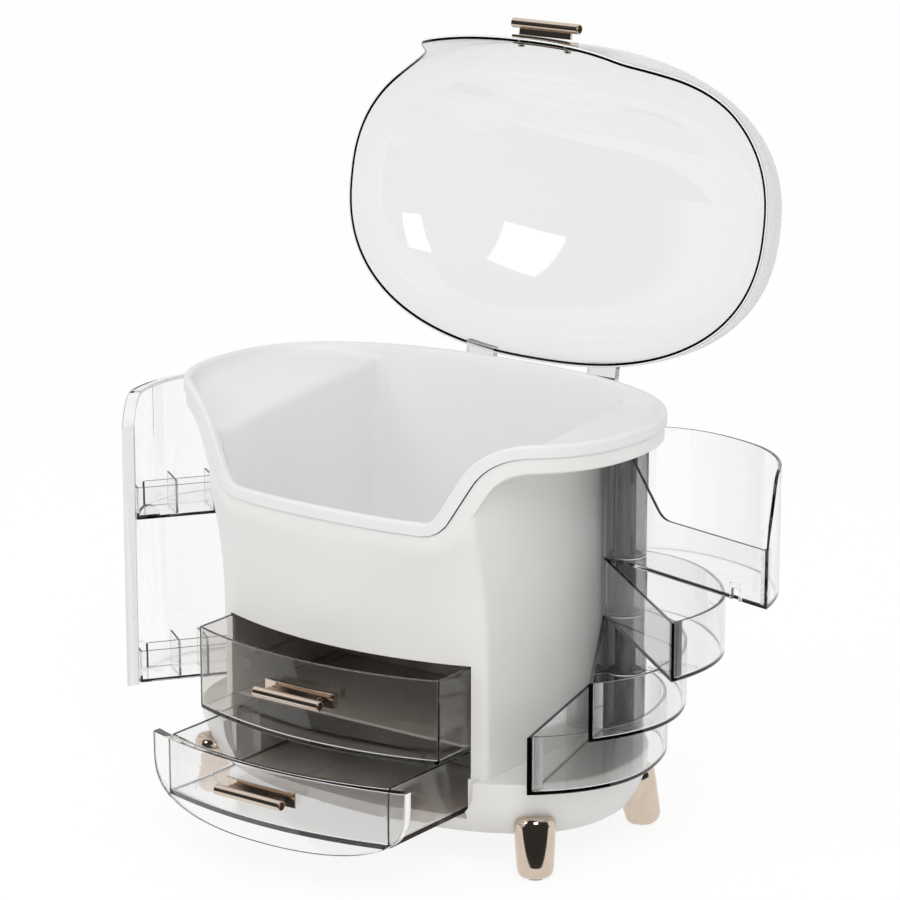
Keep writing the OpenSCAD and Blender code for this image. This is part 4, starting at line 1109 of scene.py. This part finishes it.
# ---------------------------------------------------------------------------------------------
# Swivel trays and bin: smoke and clear SAN mouldings with the case's curve outside and a straight
# wall beside the column. Their barrels turn on one steel rod, with acetal washers between them.
# ---------------------------------------------------------------------------------------------
PIVOT_X = 123.5
PIVOT_Y = 57
PIVOT = (PIVOT_X, PIVOT_Y)
TRAY_SIDE = 108.5                # plane of the straight walls, trays closed
TRAY_INSET = 4
TRAY_WALL = 2.2
TRAY_FLOOR = 2
TRAY_BACK = 66
TRAY_PITCH = 39.6
WASHER = 1
BARREL_RADIUS = 14
BOND = 0.05                      # between solids that are bonded to each other
SLEEVE_RADIUS = 7
ROD_BORE = 4.1
TRAY_ANGLES = (14.5, 30.5, 50.8)
STRAIGHT_STEPS = 40
BEND_STEPS = 16
BACK_STEPS = 6
OUTSIDE_STEPS = 56

tray_smoke = clear_plastic("smoke_san_trays", "#AEAEAB", 45, 0.015)
barrel_smoke = clear_plastic("smoke_san_barrels", "#8E908C", 300, 0.03)
paint_node("tray_pivot_rod", steel)
paint_node("tray_washers", acetal)


def oval_width(y, inset=0):
    """Half width of the oval plan at a given y."""
    share = min(1, abs(y) / (HALF_DEPTH - inset))
    return (HALF_WIDTH - inset) * (1 - share ** OVAL_POWER) ** (1 / OVAL_POWER)


def angle_at_x(x, inset):
    return math.acos(min(1, x / (HALF_WIDTH - inset)) ** (OVAL_POWER / 2))


def angle_at_y(y, inset):
    return math.asin(min(1, y / (HALF_DEPTH - inset)) ** (OVAL_POWER / 2))


def tray_plan(inset):
    """Plan of a closed tray: straight wall, bend round the pivot, back wall, curved outside."""
    side = TRAY_SIDE + inset
    tip = -oval_depth(side, TRAY_INSET + inset)
    loop = [(side, tip + (PIVOT_Y - tip) * k / STRAIGHT_STEPS) for k in range(STRAIGHT_STEPS)]
    bend = PIVOT_X - side
    last = math.asin((TRAY_BACK - inset - PIVOT_Y) / bend)
    for k in range(BEND_STEPS + 1):
        angle = math.pi + (last - math.pi) * k / BEND_STEPS
        loop.append((PIVOT_X + bend * math.cos(angle), PIVOT_Y + bend * math.sin(angle)))
    corner = loop[-1][0]
    outside = oval_arc(
        TRAY_INSET + inset, angle_at_y(TRAY_BACK - inset, TRAY_INSET + inset),
        -angle_at_x(side, TRAY_INSET + inset), OUTSIDE_STEPS,
    )
    for k in range(1, BACK_STEPS):
        loop.append((corner + (outside[0][0] - corner) * k / BACK_STEPS, TRAY_BACK - inset))
    return loop + outside[:-1]


def rim_strip(name, outer, inner, tops, thickness):
    """A narrow rim along a wall's top edge, square to its rise and fall."""
    sections = []
    last = len(tops) - 1
    for k, (out, into, top) in enumerate(zip(outer, inner, tops)):
        before, after = max(0, k - 1), min(last, k + 1)
        run = math.dist(outer[before], outer[after])
        tall = thickness * math.hypot(run, tops[after] - tops[before]) / run
        sections.append([(*out, top), (*into, top), (*into, top - tall), (*out, top - tall)])
    count = len(sections[0])
    points = [p for section in sections for p in section]
    faces = [tuple(range(count))[::-1], tuple(range(last * count, last * count + count))]
    for i in range(last):
        for k in range(count):
            nxt = (k + 1) % count
            faces.append((i * count + k, i * count + nxt, (i + 1) * count + nxt, (i + 1) * count + k))
    return new_piece(name, points, faces, None)


def ring_prism(name, centre, outer, inner, low, high):
    """A tube about a vertical axis."""
    flat = rounded([(inner, low), (outer, low), (outer, high), (inner, high)], [0, 0.4, 0.4, 0])
    return loft(name, turned(flat, centre, 48), None, ring=True)


def swung(piece, pivot, angle):
    """Turns a piece, made closed, about a vertical pivot."""
    place = Vector((pivot[0] * MM, pivot[1] * MM, 0))
    turn = Matrix.Rotation(math.radians(angle), 4, "Z")
    piece.data.transform(Matrix.Translation(place) @ turn @ Matrix.Translation(-place))
    return piece


def add_barrel(name, body, angle, low, high):
    """The hollow barrel at a tray's corner: an outer wall, a floor and a sleeve round the rod."""
    flat = rounded(
        [(ROD_BORE, low), (BARREL_RADIUS, low), (BARREL_RADIUS, high), (BARREL_RADIUS - TRAY_WALL, high),
         (BARREL_RADIUS - TRAY_WALL, low + TRAY_FLOOR), (SLEEVE_RADIUS, low + TRAY_FLOOR),
         (SLEEVE_RADIUS, high), (ROD_BORE, high)],
        [0, 0.5, 0.4, 0.4, 0.8, 0.8, 0.4, 0],
    )
    barrel = swung(loft(name, turned(flat, PIVOT), body, ring=True), PIVOT, angle)
    barrel.data.shade_smooth()
    dress(barrel, barrel_smoke)


def tray_loft(name, low, high, top=None):
    """Walls and floor of a tray; top(index, x, y) gives the height of the wall's edge."""
    profile = [
        (7, low, 0), (0, low, 1.2), (0, high, 0.5), (TRAY_WALL, high, 0.5),
        (TRAY_WALL, low + TRAY_FLOOR, 1.2), (7, low + TRAY_FLOOR, 0),
    ]
    sections = wall_sections(tray_plan, profile)
    if top:
        for index, section in enumerate(sections):
            for k, (x, y, z) in enumerate(section):
                if z > high - 3:
                    section[k] = (x, y, z - high + top(index, x, y))
    tray = loft(name, sections, None)
    cut(tray, prism("barrel room", circle(PIVOT, BARREL_RADIUS + BOND, 64), low - 2, high + 2))
    return tray


def add_tip_rib(body, material, angle, low, high):
    """The solid rib that stiffens the sharp corner between a tray's straight and curved walls."""
    loop = tray_plan(TRAY_WALL + BOND)
    corner = [loop[1], loop[0], loop[-1], loop[-2]]
    rib = prism(body + "_tip_rib", corner, low + TRAY_FLOOR + BOND, high - 0.6)
    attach(swung(rib, PIVOT, angle), body)
    finish_edges(rib, 0.3)
    dress(rib, material)


for index, (body, angle) in enumerate(zip(("lower_tray", "middle_tray", "upper_tray"), TRAY_ANGLES)):
    low = DECK_Z + TRAY_PITCH * index + WASHER
    high = DECK_Z + TRAY_PITCH * (index + 1)
    tray = swung(tray_loft(body + "_piece", low, high), PIVOT, angle)
    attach(tray, body)
    finish_edges(tray, 0.35, 50)
    dress(tray, tray_smoke, body)
    add_barrel(body + "_barrel", body, angle, low, high)
    add_tip_rib(body, barrel_smoke, angle, low, high)

BIN_ANGLE = 76.8
BIN_LOW = DECK_Z + TRAY_PITCH * 3 + WASHER
BAY_TOP = 265.6
BAY_DROP = 19.7                  # top edges in the bays below the rim curve
BIN_FRONT_TOP = 220.3
BIN_RAMP_START = 2
BIN_RAMP_RADIUS = 14
BIN_RAMP_SLOPE = math.radians(50)
BIN_SWOOP = 19                   # run of the outer wall's curved front edge
BIN_SWOOP_POWER = 0.62
BIN_RIM = 5.5                    # reach of the rim along the outer wall's top edge
BIN_RIM_BACK = 40                # the rim ends here
RIM_STEPS = 60
CATCH_Y = -58
CATCH_HALF = 5
CATCH_HEIGHT = 11


def bin_top(index, x, y):
    """Top edge: a low straight wall with a ramp behind it, and a swooping outer wall."""
    if index < STRAIGHT_STEPS:
        bend_end = BIN_RAMP_START + BIN_RAMP_RADIUS * math.sin(BIN_RAMP_SLOPE)
        if y <= BIN_RAMP_START:
            return BIN_FRONT_TOP
        if y <= bend_end:
            drop = math.sqrt(BIN_RAMP_RADIUS ** 2 - (y - BIN_RAMP_START) ** 2)
            return BIN_FRONT_TOP + BIN_RAMP_RADIUS - drop
        bend_rise = BIN_RAMP_RADIUS * (1 - math.cos(BIN_RAMP_SLOPE))
        return min(BAY_TOP, BIN_FRONT_TOP + bend_rise + (y - bend_end) * math.tan(BIN_RAMP_SLOPE))
    tip = Vector((TRAY_SIDE, -oval_depth(TRAY_SIDE, TRAY_INSET)))
    share = min(1, (Vector((x, y)) - tip).length / BIN_SWOOP)
    full = min(BAY_TOP, rim_height(x, y, BAY_DROP))
    return BIN_FRONT_TOP + (full - BIN_FRONT_TOP) * share ** BIN_SWOOP_POWER


top_bin = tray_loft("top_bin_piece", BIN_LOW, BAY_TOP, bin_top)
rim_ends = (angle_at_y(BIN_RIM_BACK, TRAY_INSET), -angle_at_x(TRAY_SIDE, TRAY_INSET))
rim_line = oval_arc(TRAY_INSET + 0.5, *rim_ends, RIM_STEPS)
rim_inside = oval_arc(TRAY_INSET + BIN_RIM, *rim_ends, RIM_STEPS)
rim_inside = [(max(x, TRAY_SIDE + 0.1), y) for x, y in rim_inside]
rim_tops = [bin_top(STRAIGHT_STEPS, x, y) - 0.02 for x, y in rim_line]
join(top_bin, rim_strip("bin rim", rim_line, rim_inside, rim_tops, TRAY_WALL))
cut(top_bin, block("catch notch", (TRAY_SIDE - 1, CATCH_Y - CATCH_HALF, BIN_LOW - 1),
                   (TRAY_SIDE + TRAY_WALL + 0.2, CATCH_Y + CATCH_HALF, BIN_LOW + CATCH_HEIGHT)))
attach(swung(top_bin, PIVOT, BIN_ANGLE), "bin")
finish_edges(top_bin, 0.35, 50)
dress(top_bin, clear, "top_bin")
add_barrel("bin_barrel", "bin", BIN_ANGLE, BIN_LOW, BAY_TOP)
add_tip_rib("bin", tray_smoke, BIN_ANGLE, BIN_LOW, BIN_FRONT_TOP)


def smooth_node(name, material, edge=0.4):
    """A carried-over moulding with welded points, rounded edges and smooth curves."""
    paint_node(name, material, edge)
    weight_normals(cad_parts[name])


smooth_node("bin_catch", clear, 0.2)

# ---------------------------------------------------------------------------------------------
# Door: a clear SAN moulding that follows the case's curve, with a turned-in free edge. It turns
# on steel pins at the left rear, and two clear shelves with smoke dividers are bonded inside it.
# A narrow rim stiffens its top edge.
# ---------------------------------------------------------------------------------------------
DOOR_INSET = 0.8
DOOR_WALL = 2.4
DOOR_TIP = 110.5
DOOR_LIP = 7
DOOR_RIM_END = 2.8               # the lip runs on along the top edge and narrows to this
DOOR_RIM_STEPS = 40
DOOR_LOW = DECK_Z + 1
DOOR_ANGLE = -36
DOOR_PIVOT = (-PIVOT_X, PIVOT_Y)
DOOR_BARREL_RADIUS = 7
DOOR_PIN_BORE = 3.1
DOOR_WEB_HALF = 1.2

paint_node("door_pivot_pins", steel)


def door_path(inset, tip, steps=72):
    """Points along the door's curve from its free edge round to its back edge, on the left."""
    arc = oval_arc(inset, -angle_at_x(tip, inset), angle_at_y(TRAY_BACK, inset), steps)
    return [(-x, y) for x, y in arc]


door_outline = door_path(DOOR_INSET, DOOR_TIP)
door_outline += door_path(DOOR_INSET + DOOR_WALL, DOOR_TIP + DOOR_WALL)[::-1]
door_outline += [
    (-DOOR_TIP - DOOR_WALL, -oval_depth(DOOR_TIP + DOOR_WALL, DOOR_INSET + DOOR_LIP)),
    (-DOOR_TIP, -oval_depth(DOOR_TIP, DOOR_INSET + DOOR_LIP)),
]
door_sections = [
    [(x, y, DOOR_LOW), (x, y, min(BAY_TOP, rim_height(x, y, BAY_DROP)))] for x, y in door_outline
]
door = loft("door_panel_piece", door_sections, None)
rim_line = door_path(DOOR_INSET + 0.5, DOOR_TIP)[:DOOR_RIM_STEPS]
rim_inside = []
for k in range(DOOR_RIM_STEPS):
    reach = DOOR_LIP + (DOOR_RIM_END - DOOR_LIP) * eased(k / (DOOR_RIM_STEPS - 1))
    rim_inside.append(door_path(DOOR_INSET + reach, DOOR_TIP)[k])
rim_tops = [min(BAY_TOP, rim_height(x, y, BAY_DROP)) - 0.02 for x, y in rim_line]
join(door, rim_strip("door rim", rim_line, rim_inside, rim_tops, DOOR_WALL))
web_end = oval_width(PIVOT_Y, DOOR_INSET + 1)
join(
    door,
    ring_prism("door barrel", DOOR_PIVOT, DOOR_BARREL_RADIUS, DOOR_PIN_BORE, DOOR_LOW, BAY_TOP),
    block("door web", (-web_end, PIVOT_Y - DOOR_WEB_HALF, DOOR_LOW + 0.1),
          (-PIVOT_X - DOOR_BARREL_RADIUS + 1, PIVOT_Y + DOOR_WEB_HALF, BAY_TOP - 0.1)),
)
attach(door, "door")
dress(door, clear, "door_panel")
# The door's turned-in edge gets the painted highlight of opaque pale white.
paint_edge_highlight(
    door, lambda at, normal: at.y < 20 and plan_depth(at.x, at.y) > DOOR_INSET + DOOR_WALL + 0.1,
)
swung(door, DOOR_PIVOT, DOOR_ANGLE)
finish_edges(door, 0.45, 50)
for name in ("door_upper_shelf", "door_lower_shelf", "door_catch"):
    smooth_node(name, clear, 0.3)
for name in ("door_upper_dividers", "door_lower_dividers"):
    smooth_node(name, tray_smoke, 0.25)

# ---------------------------------------------------------------------------------------------
# Floor and light: a plain white floor, a bright sky behind the object and two soft lamps in front.
# Gloss and metal mirror a dark room on the camera's side, which gives them their dark bands.
# ---------------------------------------------------------------------------------------------
FLOOR_WHITE = 1.07               # the floor's own glow, for the camera
GLOW_SHARE = 0.8                 # what the camera sees of the floor's own white
FLOOR_FRONT = 0.2                # mirrored surfaces see a dark room in front of this line
SKY_BRIGHT = 1.0                 # behind the object
SKY_DARK = 0.04                  # behind the camera
SKY_FILL = 0.68                  # what lights the matt surfaces
FLOOR_HALF = 20

floor_mesh = bpy.data.meshes.new("floor")
corners = [(x * FLOOR_HALF, y * FLOOR_HALF, 0) for x, y in ((-1, -1), (1, -1), (1, 1), (-1, 1))]
floor_mesh.from_pydata(corners, [], [(0, 1, 2, 3)])
floor = bpy.data.objects.new("floor", floor_mesh)
bpy.context.scene.collection.objects.link(floor)
floor_material = new_material("floor_white_matt")
tree = floor_material.node_tree
paint = add_node(tree, "ShaderNodeBsdfPrincipled",
                 {"Base Color": (0.9, 0.9, 0.9, 1), "Roughness": 0.6, "Specular IOR Level": 0.1})
glow = add_node(tree, "ShaderNodeEmission", {"Color": (1, 1, 1, 1), "Strength": FLOOR_WHITE})
dark = add_node(tree, "ShaderNodeEmission", {"Color": (1, 1, 1, 1), "Strength": SKY_DARK})
light_path = add_node(tree, "ShaderNodeLightPath")


def mirror_rays(tree, light_path):
    """1 for what gloss and metal mirror, 0 for what is seen straight or through clear walls."""
    return add_node(tree, "ShaderNodeMath", {"operation": "SUBTRACT", "use_clamp": True},
                    {0: light_path.outputs["Is Glossy Ray"], 1: light_path.outputs["Is Transmission Ray"]})


seen = add_node(tree, "ShaderNodeMath", {"operation": "MAXIMUM"},
                {0: light_path.outputs["Is Camera Ray"], 1: light_path.outputs["Is Transmission Ray"]})
plain = add_node(tree, "ShaderNodeMath", {"operation": "MAXIMUM"},
                 {0: seen.outputs[0], 1: light_path.outputs["Is Glossy Ray"]})
share = add_node(tree, "ShaderNodeMath", {"operation": "MULTIPLY", 1: GLOW_SHARE}, {0: plain.outputs[0]})
lit = add_node(tree, "ShaderNodeMixShader",
               links={0: share.outputs[0], 1: paint.outputs["BSDF"], 2: glow.outputs["Emission"]})
place = add_node(tree, "ShaderNodeTexCoord").outputs["Object"]
forward = Vector((camera_back.x, camera_back.y, 0)).normalized()
along = add_node(tree, "ShaderNodeVectorMath", {"operation": "DOT_PRODUCT", 1: tuple(forward)}, {0: place})
beyond = add_node(tree, "ShaderNodeMath", {"operation": "GREATER_THAN", 1: FLOOR_FRONT},
                  {0: along.outputs["Value"]})
mirrored = mirror_rays(tree, light_path)
room = add_node(tree, "ShaderNodeMath", {"operation": "MULTIPLY"},
                {0: beyond.outputs[0], 1: mirrored.outputs[0]})
mixed = add_node(tree, "ShaderNodeMixShader",
                 links={0: room.outputs[0], 1: lit.outputs[0], 2: dark.outputs["Emission"]})
add_node(tree, "ShaderNodeOutputMaterial", links={"Surface": mixed.outputs[0]})
floor_mesh.materials.append(floor_material)

world = bpy.data.worlds.new("sky")
bpy.context.scene.world = world
world.use_nodes = True
world.node_tree.nodes.clear()
tree = world.node_tree
direction = add_node(tree, "ShaderNodeTexCoord").outputs["Generated"]
towards_camera = add_node(tree, "ShaderNodeVectorMath",
                          {"operation": "DOT_PRODUCT", 1: tuple(camera_back)}, {0: direction})
ramp = add_node(tree, "ShaderNodeValToRGB", links={"Fac": towards_camera.outputs["Value"]})
ramp.color_ramp.elements[0].position = 0.14
ramp.color_ramp.elements[0].color = (SKY_BRIGHT, SKY_BRIGHT, SKY_BRIGHT, 1)
ramp.color_ramp.elements[1].position = 0.26
ramp.color_ramp.elements[1].color = (SKY_DARK, SKY_DARK, SKY_DARK, 1)
light_path = add_node(tree, "ShaderNodeLightPath")
mirrored = mirror_rays(tree, light_path)
fill = add_node(tree, "ShaderNodeMapRange", {"To Min": 1.0, "To Max": SKY_FILL},
                {"Value": light_path.outputs["Is Diffuse Ray"]})
sky = add_node(tree, "ShaderNodeMix", {"data_type": "RGBA"},
               {"Factor": mirrored.outputs[0], 6: fill.outputs["Result"], 7: ramp.outputs["Color"]})
background = add_node(tree, "ShaderNodeBackground", {"Strength": 1.0}, {"Color": sky.outputs[2]})
add_node(tree, "ShaderNodeOutputWorld", links={"Surface": background.outputs["Background"]})


def soft_lamp(name, place, aim, width, height, power):
    """A rectangular studio lamp that points at aim."""
    lamp = bpy.data.lights.new(name, "AREA")
    lamp.shape = "RECTANGLE"
    lamp.size = width
    lamp.size_y = height
    lamp.energy = power
    lamp_object = bpy.data.objects.new(name, lamp)
    lamp_object.location = place
    lamp_object.rotation_mode = "QUATERNION"
    lamp_object.rotation_quaternion = (Vector(aim) - Vector(place)).to_track_quat("-Z", "Y")
    bpy.context.scene.collection.objects.link(lamp_object)


soft_lamp("key", (-0.9, -1.9, 1.45), (0, 0, 0.2), 0.62, 1.0, 5.5)
soft_lamp("fill", (1.3, -1.35, 1.85), (0, 0, 0.2), 0.95, 1.3, 15)
bpy.context.scene.view_settings.view_transform = "Standard"
